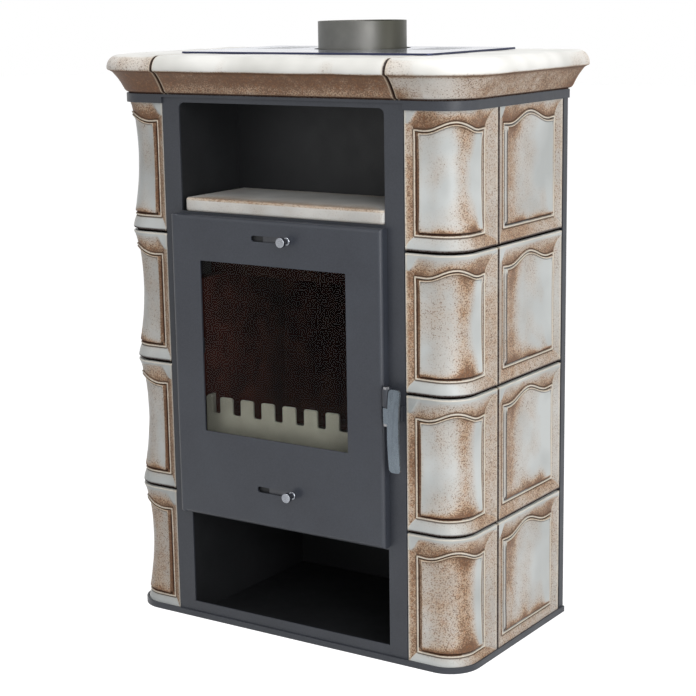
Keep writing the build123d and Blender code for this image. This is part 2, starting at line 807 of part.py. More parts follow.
def door_screw_places():
    """Screws that hold the inner frame, along the foot and head of the door."""
    low = (door_bottom + plate + seal_outer[2] - frame_sheet) / 2
    high = (door_top - plate + seal_outer[3] + frame_sheet) / 2
    return [(x, z) for z in (low, high) for x in (-door_screw_x, 0.0, door_screw_x)]


def door_inner_frame():
    """Plate that closes the door's back, with the channel for the rope seal."""
    back = glass_rear
    front = back - frame_sheet
    outer = (hinge_x + hinge_bar_web + fit_gap, door_right - plate - fit_gap,
             door_bottom + plate + fit_gap, door_top - plate - fit_gap)
    closing = frame_block(outer, grown(glass_rect, fit_gap), front, back)
    outer_wall = frame_block(grown(seal_outer, frame_sheet), seal_outer, back, door_rear)
    inner_wall = frame_block(seal_inner, grown(seal_inner, -frame_sheet), back, door_rear)
    plate_with_channel = closing + outer_wall + inner_wall
    holes = door_screw_places() + [clip_screw_place(*place) for place in clip_places()]
    for x, z in holes:
        plate_with_channel -= rod_y(x, z, front - 1, back + 1, screw_r + screw_clearance)
    for index in range(air_holes):
        x = (index - (air_holes - 1) / 2) * air_hole_pitch
        low = lower_slot_z + slide_half_height + guide_height + air_hole_r + plate
        high = upper_slot_z - slide_half_height - guide_height - air_hole_r - plate / 2
        plate_with_channel -= rod_y(x, low, front - 1, back + 1, air_hole_r)
        plate_with_channel -= rod_y(x, high, front - 1, back + 1, air_hole_r / 2)
    return plate_with_channel


def door_rope_seal():
    """Rope seal in its channel, just clear of the steel front when shut."""
    outer = grown(seal_outer, -fit_gap)
    inner = grown(seal_inner, fit_gap)
    return frame_block(outer, inner, glass_rear, -fit_gap)


def door_glass():
    return block(glass_rect[0], glass_rect[1], glass_front, glass_rear, glass_rect[2], glass_rect[3])


def glass_seal():
    return frame_block(glass_rect, grown(window, 1.0), skin_rear, glass_front)


def clip_places():
    """Centre of each glass clip and the direction from glass to frame."""
    left, right, low, high = glass_rect
    middle_z = (low + high) / 2
    spread = (right - left) / 4
    middle_x = (left + right) / 2
    return [(middle_x - spread, low, 0, -1), (middle_x + spread, low, 0, -1),
            (middle_x - spread, high, 0, 1), (middle_x + spread, high, 0, 1),
            (left, middle_z, -1, 0), (right, middle_z, 1, 0)]


def clip_screw_place(x, z, dx, dz):
    return x + dx * clip_length * 0.3, z + dz * clip_length * 0.3


def glass_clips():
    """Small plates that press the glass to the door from behind."""
    clips = []
    for x, z, dx, dz in clip_places():
        across_x = clip_width if dz else clip_length
        across_z = clip_length if dz else clip_width
        x += dx * clip_length * 0.1
        z += dz * clip_length * 0.1
        clip = block(x - across_x / 2, x + across_x / 2, glass_rear, glass_rear + clip_sheet,
                     z - across_z / 2, z + across_z / 2)
        clips.append(clip)
    drilled = []
    for clip, place in zip(clips, clip_places()):
        x, z = clip_screw_place(*place)
        drilled.append(clip - rod_y(x, z, glass_rear - 1, door_rear, screw_r + screw_clearance))
    return joined(drilled)


def door_screws():
    """M3 screws of one size: the inner frame's and the glass clips'."""
    screws = []
    for x, z in door_screw_places():
        shank = rod_y(x, z, skin_rear + 1, glass_rear, screw_r)
        screws.append(shank + rod_y(x, z, glass_rear, glass_rear + screw_head, screw_head_r))
    for place in clip_places():
        x, z = clip_screw_place(*place)
        head = glass_rear + clip_sheet
        shank = rod_y(x, z, glass_rear - frame_sheet - 1, head, screw_r)
        screws.append(shank + rod_y(x, z, head, head + screw_head, screw_head_r))
    return joined(screws)


# ---- air slides -----------------------------------------------------------------
slide_front = skin_rear + (glass_rear - frame_sheet - skin_rear - slide_sheet) / 2
slide_rear = slide_front + slide_sheet


def air_slide(z):
    """Flat shutter behind a slot in the door."""
    return block(neck_x - slide_half_length, neck_x + slide_half_length, slide_front, slide_rear,
                 z - slide_half_height, z + slide_half_height)


def air_knob(z):
    """Turned knob: neck through the slot, collar, waist and flat head."""
    face = door_front
    end = face - knob_length
    collar_y = face - fit_gap
    head_y = end + knob_head
    knob = rod_y(neck_x, z, collar_y, slide_front, neck_r)
    collar = rod_y(neck_x, z, collar_y - collar_length, collar_y, collar_r)
    knob += chamfer(collar.edges().filter_by(GeomType.CIRCLE), 0.6)
    knob += rod_y(neck_x, z, head_y, collar_y - collar_length, waist_r)
    head = rod_y(neck_x, z, end, head_y, knob_r)
    return knob + fillet(head.edges().filter_by(GeomType.CIRCLE), 1.5)


def air_slide_guides():
    """Rails over and under each shutter."""
    rails = []
    x0 = neck_x - slide_half_length - slide_travel
    x1 = neck_x + slide_half_length
    for z in (lower_slot_z, upper_slot_z):
        for side in (-1, 1):
            near = z + side * (slide_half_height + fit_gap)
            far = near + side * guide_height
            rails.append(block(x0, x1, skin_rear, glass_rear - frame_sheet, min(near, far),
                               max(near, far)))
    return joined(rails)


# ---- handle ---------------------------------------------------------------------
bracket_bottom = tab_bottom + tab_height + bracket_gap
bracket_top = bracket_bottom + bracket_height


def handle_bracket():
    """Barrel and foot on the door's side, above the lever's tab."""
    barrel = rod_z(handle_x, handle_y, bracket_bottom, bracket_top, barrel_r)
    foot = block(door_right, handle_x, handle_y, bracket_rear, bracket_bottom, bracket_top)
    bracket = barrel + foot
    return bracket - rod_z(handle_x, handle_y, bracket_bottom - 1, bracket_top + 1,
                           pin_r + bolt_clearance)


def handle_bolt():
    """Pivot bolt with its hexagon head on the bracket and a nut under the tab."""
    nut_top = tab_bottom - fit_gap
    shank = rod_z(handle_x, handle_y, nut_top - bolt_head, bracket_top, pin_r)
    hexagon = extrude(RegularPolygon(bolt_head_r, 6), amount=bolt_head)
    head = Pos(handle_x, handle_y, bracket_top) * hexagon
    nut = Pos(handle_x, handle_y, nut_top - bolt_head) * hexagon
    return shank + head + nut


def lever_bar():
    """Flat bar, bowed outwards between its two ends."""
    middle = (lever_bottom + lever_top) / 2
    half = lever_sheet / 2
    low = lever_end_y
    bowed = lever_end_y - lever_bow
    line = ThreePointArc((low - half, lever_bottom), (bowed - half, middle),
                         (low - half, lever_top))
    line += Line((low - half, lever_top), (low + half, lever_top))
    line += ThreePointArc((low + half, lever_top), (bowed + half, middle),
                          (low + half, lever_bottom))
    line += Line((low + half, lever_bottom), (low - half, lever_bottom))
    side = Plane((lever_left, 0, 0), x_dir=(0, 1, 0), z_dir=(1, 0, 0))
    bar = extrude(side * make_face(line), amount=lever_width)
    return bar & round_block(lever_left, lever_left + lever_width, 2 * bowed, 0, lever_bottom,
                             lever_top, lever_corner_r)


def handle_lever():
    """Lever with its pivot tab and the latch finger behind it."""
    tab_top = tab_bottom + tab_height
    tab = block(handle_x, lever_left + 4, lever_end_y - lever_bow + 1, handle_y + plate,
                tab_bottom, tab_top)
    tab += rod_z(handle_x, handle_y, tab_bottom, tab_top, barrel_r)
    finger_x = handle_x + finger_offset
    finger = block(finger_x, finger_x + finger_width, lever_end_y - lever_bow + 1, finger_rear,
                   tab_bottom + 5, tab_top - 5)
    lever = lever_bar() + tab + finger
    return lever - rod_z(handle_x, handle_y, tab_bottom - 1, tab_top + 1, pin_r + bolt_clearance)


def latch_keeper():
    """Folded catch on the steel front, beside the latch finger."""
    z0 = tab_bottom + 1
    z1 = tab_bottom + tab_height - 1
    x0 = handle_x + keeper_offset
    ear = block(x0, x0 + plate, -keeper_depth, 0, z0, z1)
    return ear + block(x0, x0 + keeper_foot, -sheet, 0, z0, z1)


# ---- all pieces -----------------------------------------------------------------
def all_pieces():
    pieces = {
        "base_tray": base_tray(),
        "top_tray": top_tray(),
        "front_frame": front_frame(),
        "rear_posts": rear_posts(),
        "backing_panels": backing_panels(),
        "back_panel": back_panel(),
        "casing_screws": casing_screws(),
        "joint_strips": joint_strips(),
        "top_cover_plate": top_cover_plate(),
        "smoke_channel": smoke_channel(),
        "flue_spigot": flue_spigot(),
        "niche_box": niche_box(),
        "niche_shelf_tile": niche_shelf_tile(),
        "log_store_liner": log_store_liner(),
        "firebox_shell": firebox_shell(),
        "firebrick_right": firebrick_right(),
        "firebrick_left": mirrored(firebrick_right()),
        "firebrick_back": firebrick_back(),
        "firebrick_floor": firebrick_floor(),
        "baffle_plate": baffle_plate(),
        "grate": grate(),
        "log_retainer": log_retainer(),
        "ash_pan": ash_pan(),
        "hinge_lugs": hinge_lugs(),
        "hinge_pins": hinge_pins(),
        "latch_keeper": latch_keeper(),
        "door_panel": door_panel(),
        "door_inner_frame": door_inner_frame(),
        "door_rope_seal": door_rope_seal(),
        "door_glass": door_glass(),
        "glass_seal": glass_seal(),
        "glass_clips": glass_clips(),
        "door_screws": door_screws(),
        "air_slide_guides": air_slide_guides(),
        "upper_air_slide": air_slide(upper_slot_z),
        "upper_air_knob": air_knob(upper_slot_z),
        "lower_air_slide": air_slide(lower_slot_z),
        "lower_air_knob": air_knob(lower_slot_z),
        "handle_bracket": handle_bracket(),
        "handle_bolt": handle_bolt(),
        "handle_lever": handle_lever(),
    }
    run = cornice_run()
    cut = cornice_cut_x
    half = cornice_joint / 2
    nose_x = side_x + cornice_overhang
    pieces["cornice_left"] = cornice_slice(run, -nose_x - 1, -cut - half)
    pieces["cornice_centre"] = cornice_slice(run, -cut + half, cut - half)
    pieces["cornice_right"] = cornice_slice(run, cut + half, nose_x + 1)
    corner = corner_tile_right()
    side = side_tile_right()
    for row in range(row_count):
        lift = Pos(0, 0, row * row_pitch)
        name = str(row + 1)
        pieces["corner_tile_right_" + name] = lift * corner
        pieces["corner_tile_left_" + name] = lift * mirrored(corner)
        pieces["side_tile_right_" + name] = lift * side
        pieces["side_tile_left_" + name] = lift * mirrored(side)
    return pieces


def save(pieces):
    """Write one STEP per piece, with the origin under the middle of the stove."""
    os.makedirs("parts", exist_ok=True)
    for name, shape in pieces.items():
        placed = Pos(0, -centre_y, 0) * shape
        solids = placed.solids()
        whole = solids[0] if len(solids) == 1 else Compound(children=list(solids))
        export_step(whole, "parts/" + name + ".step")


save(all_pieces())
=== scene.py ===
import bpy
import json
import math
import numpy as np
from mathutils import Matrix, Vector


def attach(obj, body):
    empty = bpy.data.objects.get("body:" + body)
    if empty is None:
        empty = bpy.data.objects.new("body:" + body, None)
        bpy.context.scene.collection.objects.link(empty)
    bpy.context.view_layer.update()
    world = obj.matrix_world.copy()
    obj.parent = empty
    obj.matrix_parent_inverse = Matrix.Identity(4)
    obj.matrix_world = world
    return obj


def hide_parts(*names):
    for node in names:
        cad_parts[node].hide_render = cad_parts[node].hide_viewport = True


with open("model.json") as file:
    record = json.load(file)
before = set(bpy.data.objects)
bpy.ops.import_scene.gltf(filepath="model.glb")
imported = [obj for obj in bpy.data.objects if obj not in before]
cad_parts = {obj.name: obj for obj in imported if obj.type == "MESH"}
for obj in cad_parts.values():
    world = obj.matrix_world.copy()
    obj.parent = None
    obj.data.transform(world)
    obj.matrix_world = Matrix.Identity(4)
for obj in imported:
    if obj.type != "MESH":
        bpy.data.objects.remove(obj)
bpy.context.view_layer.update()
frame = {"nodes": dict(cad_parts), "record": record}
nodes = frame["nodes"]

MM = 0.001
CENTRE_Y = 157.0  # the frame's origin lies this far behind the steel front


# ---- dimensions shared with the solids, millimetres, front face at y = 0
SIDE_X = 334.5
CORNER_R = 50.0
CORNER_X0 = 234.8
CORNER_LEG_Y = 118.3
SIDE_TILE_Y0 = 119.3
SIDE_TILE_WIDTH = 219.2
TILE_HEIGHT = 221.0
TILE_DEPTH = 36.0
ROW_PITCH = 225.0
TILE_FOOT_Z = 2.0
ROWS = 4

NOSE_X = 374.5
NOSE_Y = -40.0
CORNICE_BEND_R = 100.0
CORNICE_Z = 905.5
CORNICE_HEIGHT = 64.5
CORNICE_FOOT = 34.0  # behind the nose, as all the cornice's depths
CORNICE_WEB = 60.0
SHELF_THICKNESS = 25.0
CORNICE_CUT_X = 225.0
CORNICE_HALF_JOINT = 1.5
CORNICE_OPEN_HALF = 229.5
CORNICE_OPEN_FRONT = 93.0
REAR_Y = 354.0

SLAB_X = (-191.4, 199.6)
SLAB_Y = (-3.5, 158.0)
SLAB_Z = (714.0, 737.0)


# ---- the scene's own measures, millimetres
STAND_BACK = 0.02  # moulded faces stay this far inside the solids

BEAD_FOOT = 23.5  # height of the bead above the tile's foot
FIELD_FOOT = 28.6  # height where the raised field begins
RIM = 1.2  # flat rim outside the picture frame's slopes
FOOT_RIM = 2.0
VALLEY = 5.7  # depth at the inner end of the border
BEAD_HALF = 1.75
RIDGE_GAP = 4.3  # from the bead over the arch down to the field's own edge
EDGE_R = 2.4

COVE_START = (28.8, 7.4)  # (behind the nose, above the foot)
COVE_END = (9.0, 35.5)
COVE_STEPS = 22
NOSE_EDGE = 38.0  # height where the cove's brown ends
NOSE_LOW = 42.2  # height of the nose's foremost line
NOSE_ROUND = 22.0  # how far back its rounding runs on top
NOSE_STEPS = 24
FOOT_SHADOW = (2.6, 3.6)  # the foot is dark below these heights
CUT_R = 2.2  # rounding of the cornice's cut edges
BEND_STEPS = 32
BEND_INNER_RUN = 14.0  # way along the inner edge while the nose goes round the bend
NO_CUT_NEAR = 99.0

SLAB_EDGE_R = 4.6
SLAB_FRONT_R = 7.0
SLAB_REAR_R = 4.0
SLAB_MIDDLE_X = 4.0
SLAB_EDGE_STEPS = (21, 54, 21, 54)  # right, rear, left, front


# ---- node helpers
class Nodes:
    """A node tree, built up call by call."""

    def __init__(self, tree):
        self.tree = tree

    def put(self, socket, value):
        if isinstance(value, bpy.types.NodeSocket):
            self.tree.links.new(value, socket)
        elif isinstance(value, tuple) and len(value) == 3 and socket.type == "RGBA":
            socket.default_value = (*value, 1.0)
        else:
            socket.default_value = value

    def node(self, kind, **values):
        made = self.tree.nodes.new("ShaderNode" + kind)
        for key, value in values.items():
            setattr(made, key, value)
        return made

    def math(self, operation, a, b=0.0, clamp=False):
        made = self.node("Math", operation=operation, use_clamp=clamp)
        self.put(made.inputs[0], a)
        self.put(made.inputs[1], b)
        return made.outputs[0]

    def weigh(self, a, part_a, b, part_b):
        return self.math("ADD", self.math("MULTIPLY", a, part_a),
                         self.math("MULTIPLY", b, part_b))

    def remap(self, value, low, high, to_low=0.0, to_high=1.0, smooth=False):
        made = self.node("MapRange", interpolation_type="SMOOTHSTEP" if smooth else "LINEAR")
        self.put(made.inputs["Value"], value)
        for name, number in (("From Min", low), ("From Max", high), ("To Min", to_low),
                             ("To Max", to_high)):
            made.inputs[name].default_value = number
        return made.outputs[0]

    def mix(self, factor, a, b):
        # Inputs 6 and 7 and output 2 are the colour ones.
        made = self.node("Mix", data_type="RGBA", clamp_factor=True)
        self.put(made.inputs[0], factor)
        self.put(made.inputs[6], a)
        self.put(made.inputs[7], b)
        return made.outputs[2]


class Shade(Nodes):
    """A material over a Principled shader."""

    def __init__(self, name):
        self.mat = bpy.data.materials.new(name)
        self.mat.use_nodes = True
        super().__init__(self.mat.node_tree)
        self.bsdf = self.tree.nodes["Principled BSDF"]
        self.out = self.tree.nodes["Material Output"]
        self.where = self.node("TexCoord").outputs["Object"]

    def noise(self, scale, detail=2.0, rough=0.5, distortion=0.0, stretch=None):
        made = self.node("TexNoise")
        vector = self.where
        if stretch is not None:
            mapping = self.node("Mapping")
            self.put(mapping.inputs["Vector"], vector)
            mapping.inputs["Scale"].default_value = stretch
            vector = mapping.outputs[0]
        self.put(made.inputs["Vector"], vector)
        made.inputs["Scale"].default_value = scale
        made.inputs["Detail"].default_value = detail
        made.inputs["Roughness"].default_value = rough
        made.inputs["Distortion"].default_value = distortion
        return made.outputs[0]

    def cells(self, scale):
        made = self.node("TexVoronoi")
        self.put(made.inputs["Vector"], self.where)
        made.inputs["Scale"].default_value = scale
        return made.outputs["Distance"]

    def axis(self, name, where=None):
        made = self.node("SeparateXYZ")
        self.put(made.inputs[0], where if where is not None else self.where)
        return made.outputs[name]

    def bump(self, height, strength, distance, under=None):
        made = self.node("Bump")
        made.inputs["Strength"].default_value = strength
        made.inputs["Distance"].default_value = distance
        self.put(made.inputs["Height"], height)
        if under is not None:
            self.put(made.inputs["Normal"], under)
        return made.outputs[0]

    def attribute(self, name):
        """The three channels of a colour attribute."""
        made = self.node("Attribute", attribute_name=name)
        split = self.node("SeparateColor")
        self.put(split.inputs[0], made.outputs["Color"])
        return split.outputs[0], split.outputs[1], split.outputs[2]

    def finish(self, color, roughness, normal=None, metallic=0.0, **numbers):
        self.put(self.bsdf.inputs["Base Color"], color)
        self.put(self.bsdf.inputs["Roughness"], roughness)
        self.put(self.bsdf.inputs["Metallic"], metallic)
        if normal is not None:
            self.put(self.bsdf.inputs["Normal"], normal)
        for key, value in numbers.items():
            self.bsdf.inputs[key.replace("_", " ")].default_value = value
        return self.mat


def srgb(r, g, b):
    """Linear colour of an 8-bit screen colour."""
    def linear(c):
        c /= 255.0
        return c / 12.92 if c <= 0.04045 else ((c + 0.055) / 1.055) ** 2.4
    return (linear(r), linear(g), linear(b))


# ---- materials
def paint(name, dark, light, rough=0.46, grain=0.10, gloss=0.42):
    """Heat-proof stove paint: satin, faintly mottled, with a fine sprayed grain."""
    s = Shade(name)
    cloud = s.noise(9.0, 4.0, 0.55)
    fine = s.noise(520.0, 2.0, 0.6)
    shade = s.weigh(cloud, 0.5, fine, 0.5)
    color = s.mix(s.remap(shade, 0.36, 0.64), srgb(*dark), srgb(*light))
    roughness = s.remap(s.noise(28.0, 3.0), 0.3, 0.7, rough - 0.05, rough + 0.06)
    normal = s.bump(s.noise(900.0, 2.0, 0.6), grain, 0.0004,
                    s.bump(s.noise(7.0, 1.0), 0.25, 0.0012))
    return s.finish(color, roughness, normal, Specular_IOR_Level=gloss)


WASH_TONE = (184, 157, 129)  # thin spray
BROWN_TONE = (122, 89, 63)  # thick spray
SPECK_TONE = (94, 64, 42)
RUST_TONE = (172, 112, 66)
GROOVE_AND_SHADE_TONE = (44, 22, 13)  # glaze pooled in a groove, with painted shade in grooves, creases and under overhangs
CREST_HIGHLIGHT_TONE = (222, 208, 186)  # painted highlight on ridges and edges, where the glaze also runs thin


def glaze(name, base_dark, base_light, patchy=(0.72, 1.24)):
    """Cream stove-tile glaze, sprayed with iron-brown specks where the mesh marks it.

    The mask's red is the amount of brown, green the dark line of glaze pooled in a
    groove together with painted shade, and blue the pale crest of a ridge, a painted highlight."""
    s = Shade(name)
    brown, line, crest = s.attribute("mask")
    patch = s.noise(17.0, 3.0, 0.6, 0.4)
    streak = s.noise(70.0, 3.0, 0.65, 0.2)
    speck = s.noise(430.0, 2.0, 0.75)
    grit = s.noise(1200.0, 1.0, 0.6)
    amount = s.math("MULTIPLY", brown, s.remap(patch, 0.32, 0.70, *patchy))
    amount = s.math("MULTIPLY", amount, s.remap(streak, 0.3, 0.7, 0.86, 1.12))
    spray = s.weigh(speck, 0.72, grit, 0.28)
    base = s.mix(s.remap(s.noise(11.0, 2.0), 0.35, 0.65), srgb(*base_dark), srgb(*base_light))

    # The brown: a wash, then a full coat, single specks and rust.
    wash = s.remap(amount, 0.12, 0.72, 0.0, 0.90)
    color = s.mix(wash, base, srgb(*WASH_TONE))
    color = s.mix(s.remap(amount, 0.62, 1.25, 0.0, 0.85), color, srgb(*BROWN_TONE))
    above = s.math("SUBTRACT", spray, s.remap(amount, 0.0, 1.3, 0.636, 0.400))
    dots = s.math("MULTIPLY", s.remap(above, -0.030, 0.035), s.remap(amount, 0.10, 0.32),
                  clamp=True)
    color = s.mix(s.math("MULTIPLY", dots, 0.84), color, srgb(*SPECK_TONE))
    rust = s.remap(s.noise(210.0, 2.0, 0.6), 0.50, 0.68, 0.0, 0.28)
    color = s.mix(s.math("MULTIPLY", rust, wash, clamp=True), color, srgb(*RUST_TONE))

    # Dark lines of pooled glaze with painted shade, and pale crests of painted highlight, both
    # broken up by the spray.
    groove = s.math("MULTIPLY", line, s.remap(spray, 0.38, 0.62, 1.10, 0.78), clamp=True)
    color = s.mix(groove, color, srgb(*GROOVE_AND_SHADE_TONE))
    painted_highlight = s.math("MULTIPLY", crest, s.remap(spray, 0.40, 0.62, 0.92, 0.50), clamp=True)
    color = s.mix(painted_highlight, color, srgb(*CREST_HIGHLIGHT_TONE))
    rough = s.math("ADD", s.remap(wash, 0.0, 0.8, 0.34, 0.48), s.math("MULTIPLY", line, 0.60))
    waves = s.bump(s.noise(34.0, 2.0), 0.30, 0.0009)
    return s.finish(color, rough, s.bump(spray, 0.14, 0.0005, waves), Specular_IOR_Level=0.34)


def steel(name, dark, light, rough=0.32, metallic=0.85, stretch=(1.0, 1.0, 12.0)):
    """Bare metal, faintly brushed along one axis."""
    s = Shade(name)
    brushed = s.noise(240.0, 3.0, 0.6, stretch=stretch)
    cloud = s.noise(22.0, 3.0)
    both = s.weigh(brushed, 0.5, cloud, 0.5)
    color = s.mix(s.remap(both, 0.36, 0.64), srgb(*dark), srgb(*light))
    roughness = s.remap(brushed, 0.3, 0.7, rough - 0.05, rough + 0.08)
    return s.finish(color, roughness, s.bump(brushed, 0.08, 0.0003), metallic)


# Heights and widths in metres, as the shaders see them.
COVER_FLANGE = (0.966, 0.969)  # between the cover's flange and its plate
FLUE_SHADE_SIDE = (0.060, 0.092)  # across the flue, where its painted shade starts and is full
SOOT_LINE = (0.30, 0.56)  # where soot starts on the firebrick and is full


def cover_metal():
    """Thin polished plate, pale bluish on its flat faces and dark blue-grey on the sideways faces
    of its cut edges, with a plain rear flange.
    """
    s = Shade("cover_metal")
    facing = s.node("TexCoord").outputs["Normal"]
    top = s.remap(s.math("ABSOLUTE", s.axis("Z", facing)), 0.3, 0.8)
    streak = s.remap(s.noise(6.0, 3.0, 0.5, stretch=(0.4, 1.6, 1.0)), 0.35, 0.65)
    face = s.mix(streak, srgb(146, 152, 170), srgb(178, 183, 198))
    # The faces that turn sideways, the cut edges, are coloured dark blue-grey by their facing
    # alone.
    color = s.mix(top, srgb(58, 62, 88), face)
    color = s.mix(s.remap(s.axis("Z"), *COVER_FLANGE, 1.0, 0.0), color, srgb(62, 64, 69))
    rough = s.remap(s.noise(30.0, 3.0), 0.3, 0.7, 0.10, 0.16)
    return s.finish(color, rough, s.bump(s.noise(7.0, 1.0), 0.15, 0.001), 0.85)


def flue_metal():
    """Heat-proof grey, with painted shade that turns one side dark olive."""
    s = Shade("flue_metal")
    side = s.weigh(s.axis("X"), 0.83, s.axis("Y"), 0.55)
    # Painted shade: the side away from the light turns dark olive.
    painted_side_shade = s.remap(side, *FLUE_SHADE_SIDE, 0.0, 0.9, smooth=True)
    tone = s.remap(s.noise(9.0, 4.0, 0.55), 0.36, 0.64)
    color = s.mix(tone, srgb(88, 88, 83), srgb(112, 111, 106))
    color = s.mix(painted_side_shade, color, srgb(52, 51, 37))
    rough = s.remap(s.noise(28.0, 3.0), 0.3, 0.7, 0.36, 0.46)
    return s.finish(color, rough, s.bump(s.noise(900.0, 2.0, 0.6), 0.16, 0.0004), 0.3)


def brick(name, pale, dark):
    """Pressed firebrick with soot that thickens upwards."""
    s = Shade(name)
    clouds = s.remap(s.noise(9.0, 4.0), 0.3, 0.7, -0.4, 0.4)
    soot = s.math("ADD", s.remap(s.axis("Z"), *SOOT_LINE), clouds)
    flakes = s.cells(420.0)
    color = s.mix(s.remap(flakes, 0.0, 0.9), srgb(*pale), srgb(*dark))
    smears = s.remap(s.noise(26.0, 4.0, 0.65), 0.35, 0.68, -0.22, 0.22)
    black = s.math("ADD", s.remap(soot, 0.0, 0.6, 0.42, 0.92), smears, clamp=True)
    color = s.mix(black, color, srgb(40, 15, 11))
    return s.finish(color, s.remap(flakes, 0.0, 1.0, 0.8, 0.97), s.bump(flakes, 0.35, 0.0006),
                    Specular_IOR_Level=0.15)


def rope(name, pale, dark):
    """Twisted glass rope."""
    s = Shade(name)
    twist = s.node("TexWave", wave_type="BANDS", bands_direction="DIAGONAL")
    s.put(twist.inputs["Vector"], s.where)
    twist.inputs["Scale"].default_value = 90.0
    twist.inputs["Distortion"].default_value = 1.5
    color = s.mix(twist.outputs["Fac"], srgb(*dark), srgb(*pale))
    return s.finish(color, 0.92, s.bump(twist.outputs["Fac"], 0.6, 0.0008))


def window_glass():
    """Clear glass ceramic with a faint smoky film; lamps shine through it."""
    s = Shade("window_glass")
    film = s.remap(s.noise(7.0, 3.0, 0.6), 0.35, 0.7, 0.0, 0.004)
    s.finish(srgb(240, 236, 232), film, None, 0.0, Transmission_Weight=1.0, IOR=1.16)
    clear = s.node("BsdfTransparent")
    clear.inputs[0].default_value = (*srgb(240, 238, 236), 1.0)
    path = s.node("LightPath")
    mixed = s.node("MixShader")
    s.put(mixed.inputs[0], path.outputs["Is Camera Ray"])
    s.put(mixed.inputs[1], clear.outputs[0])
    s.put(mixed.inputs[2], s.bsdf.outputs[0])
    s.put(s.out.inputs["Surface"], mixed.outputs[0])
    return s.mat


# Colours are 8-bit screen colours, dark and light (bricks and rope: pale and dark).
MATERIALS = {
    "dark_steel": paint("anthracite_paint", (44, 47, 53), (55, 58, 65)),
    "door_steel": paint("door_paint", (45, 48, 56), (56, 60, 68), 0.36),
    "inner_steel": paint("lining_paint", (24, 25, 27), (36, 37, 39), 0.50, gloss=0.35),
    "bare_steel": steel("bare_steel", (60, 61, 64), (84, 85, 89), 0.42),
    "joint": paint("joint_strip", (12, 10, 9), (20, 17, 15), 0.92, gloss=0.05),
    "cover_steel": cover_metal(),
    "flue_steel": flue_metal(),
    "firebrick": brick("firebrick", (104, 50, 36), (64, 30, 22)),
    "baffle": brick("baffle_board", (92, 70, 54), (58, 44, 34)),
    "cast_grate": paint("cast_iron", (36, 34, 33), (56, 53, 50), 0.7, 0.5),
    "retainer": steel("retainer_steel", (142, 147, 138), (170, 175, 164), 0.45, 0.35),
    "pan_steel": steel("pan_steel", (80, 80, 82), (112, 112, 114), 0.45),
    "glass": window_glass(),
    "seal": rope("rope_seal", (150, 146, 138), (84, 80, 74)),
    "screw": steel("screw_steel", (110, 110, 112), (160, 160, 162), 0.3, 0.95),
    "handle": steel("handle_zinc", (92, 100, 108), (110, 119, 127), 0.26, 0.8, (1.0, 1.0, 0.15)),
    "chrome": steel("knob_chrome", (104, 107, 114), (168, 171, 177), 0.10, 1.0),
    "tile_glaze": glaze("tile_glaze", (172, 175, 174), (193, 196, 195)),
    "cornice_glaze": glaze("cornice_glaze", (208, 207, 202), (232, 231, 227), (0.88, 1.12)),
    "slab_glaze": glaze("slab_glaze", (190, 190, 187), (212, 212, 209)),
}


# ---- meshes
def new_piece(name, points, faces, material, mask, sharp):
    """An object at the origin from points in working millimetres, with a glaze mask for
    each; edges steeper than sharp degrees stay sharp."""
    points = np.array(points, float)
    points[:, 1] -= CENTRE_Y
    mesh = bpy.data.meshes.new(name)
    mesh.from_pydata((points * MM).tolist(), [], [list(map(int, f)) for f in faces])
    mesh.validate()
    mesh.shade_smooth()
    mesh.set_sharp_from_angle(angle=math.radians(sharp))
    mesh.materials.append(MATERIALS[material])
    layer = mesh.color_attributes.new("mask", "FLOAT_COLOR", "POINT")
    rgba = np.ones((len(points), 4))
    rgba[:, :3] = mask
    layer.data.foreach_set("color", rgba.ravel())
    piece = bpy.data.objects.new(name, mesh)
    bpy.context.scene.collection.objects.link(piece)
    return piece


def smoothstep(x, low, high):
    """0 below low, 1 above high, with a soft change between."""
    t = np.clip((x - low) / (high - low), 0.0, 1.0)
    return t * t * (3.0 - 2.0 * t)


def wobble(a, b, seed, amount, length):
    """Gentle hand-made unevenness: a few sine waves with seeded phases."""
    rng = np.random.default_rng(seed)
    total = np.zeros_like(a)
    for _ in range(6):
        angle = rng.uniform(0, 2 * math.pi)
        wave = rng.uniform(0.6, 1.8) * 2 * math.pi / length
        phase = rng.uniform(0, 2 * math.pi)
        total += np.sin(wave * (a * math.cos(angle) + b * math.sin(angle)) + phase)
    return amount * total / 6.0


# ---- tiles
class TileKind:
    """The measures of one kind of tile, in millimetres.

    A picture-frame border slopes in to a bead (left, right, foot, arch). Inside it a
    strip rises again to the raised field (field_left, field_right, field_foot). The
    field's face sinks by hollow at its foot, middle and head."""

    def __init__(self, width, sides, field_sides, crown, rise, hollow, surface, tones):
        self.width = width
        self.left, self.right = sides
        self.field_left, self.field_right = field_sides
        self.foot = BEAD_FOOT
        self.field_foot = FIELD_FOOT
        self.low = crown - rise
        self.rise = rise
        self.hollow = hollow
        self.surface = surface
        self.tones = tones

    def across(self, u):
        """Place across the tile: -1 at the left bead, 1 at the right one."""
        middle = (self.left + self.width - self.right) / 2
        return (u - middle) / ((self.width - self.left - self.right) / 2)

    def arch(self, u):
        """Height of the moulded bead over each place along the tile."""
        x = np.clip(np.abs(self.across(u)), 0.0, 1.0)
        bell = np.where(x < 0.76, 0.5 + 0.5 * np.cos(math.pi * x / 0.76), 0.0)
        return self.low + self.rise * (bell + 0.07 * smoothstep(x, 0.78, 1.0))


HEAD_TONES = (0.95, 0.85, 0.90, 1.20)  # brown above the arch, by row from the floor
FIELD_TONES = (0.19, 0.03, 0.06, -0.02)  # brown over the raised field, by row
TONE_SPREAD = (0.82, 1.16)  # how far the brown of single tiles differs
HEAD_SLOPE = 3  # number of the head among a frame's slopes


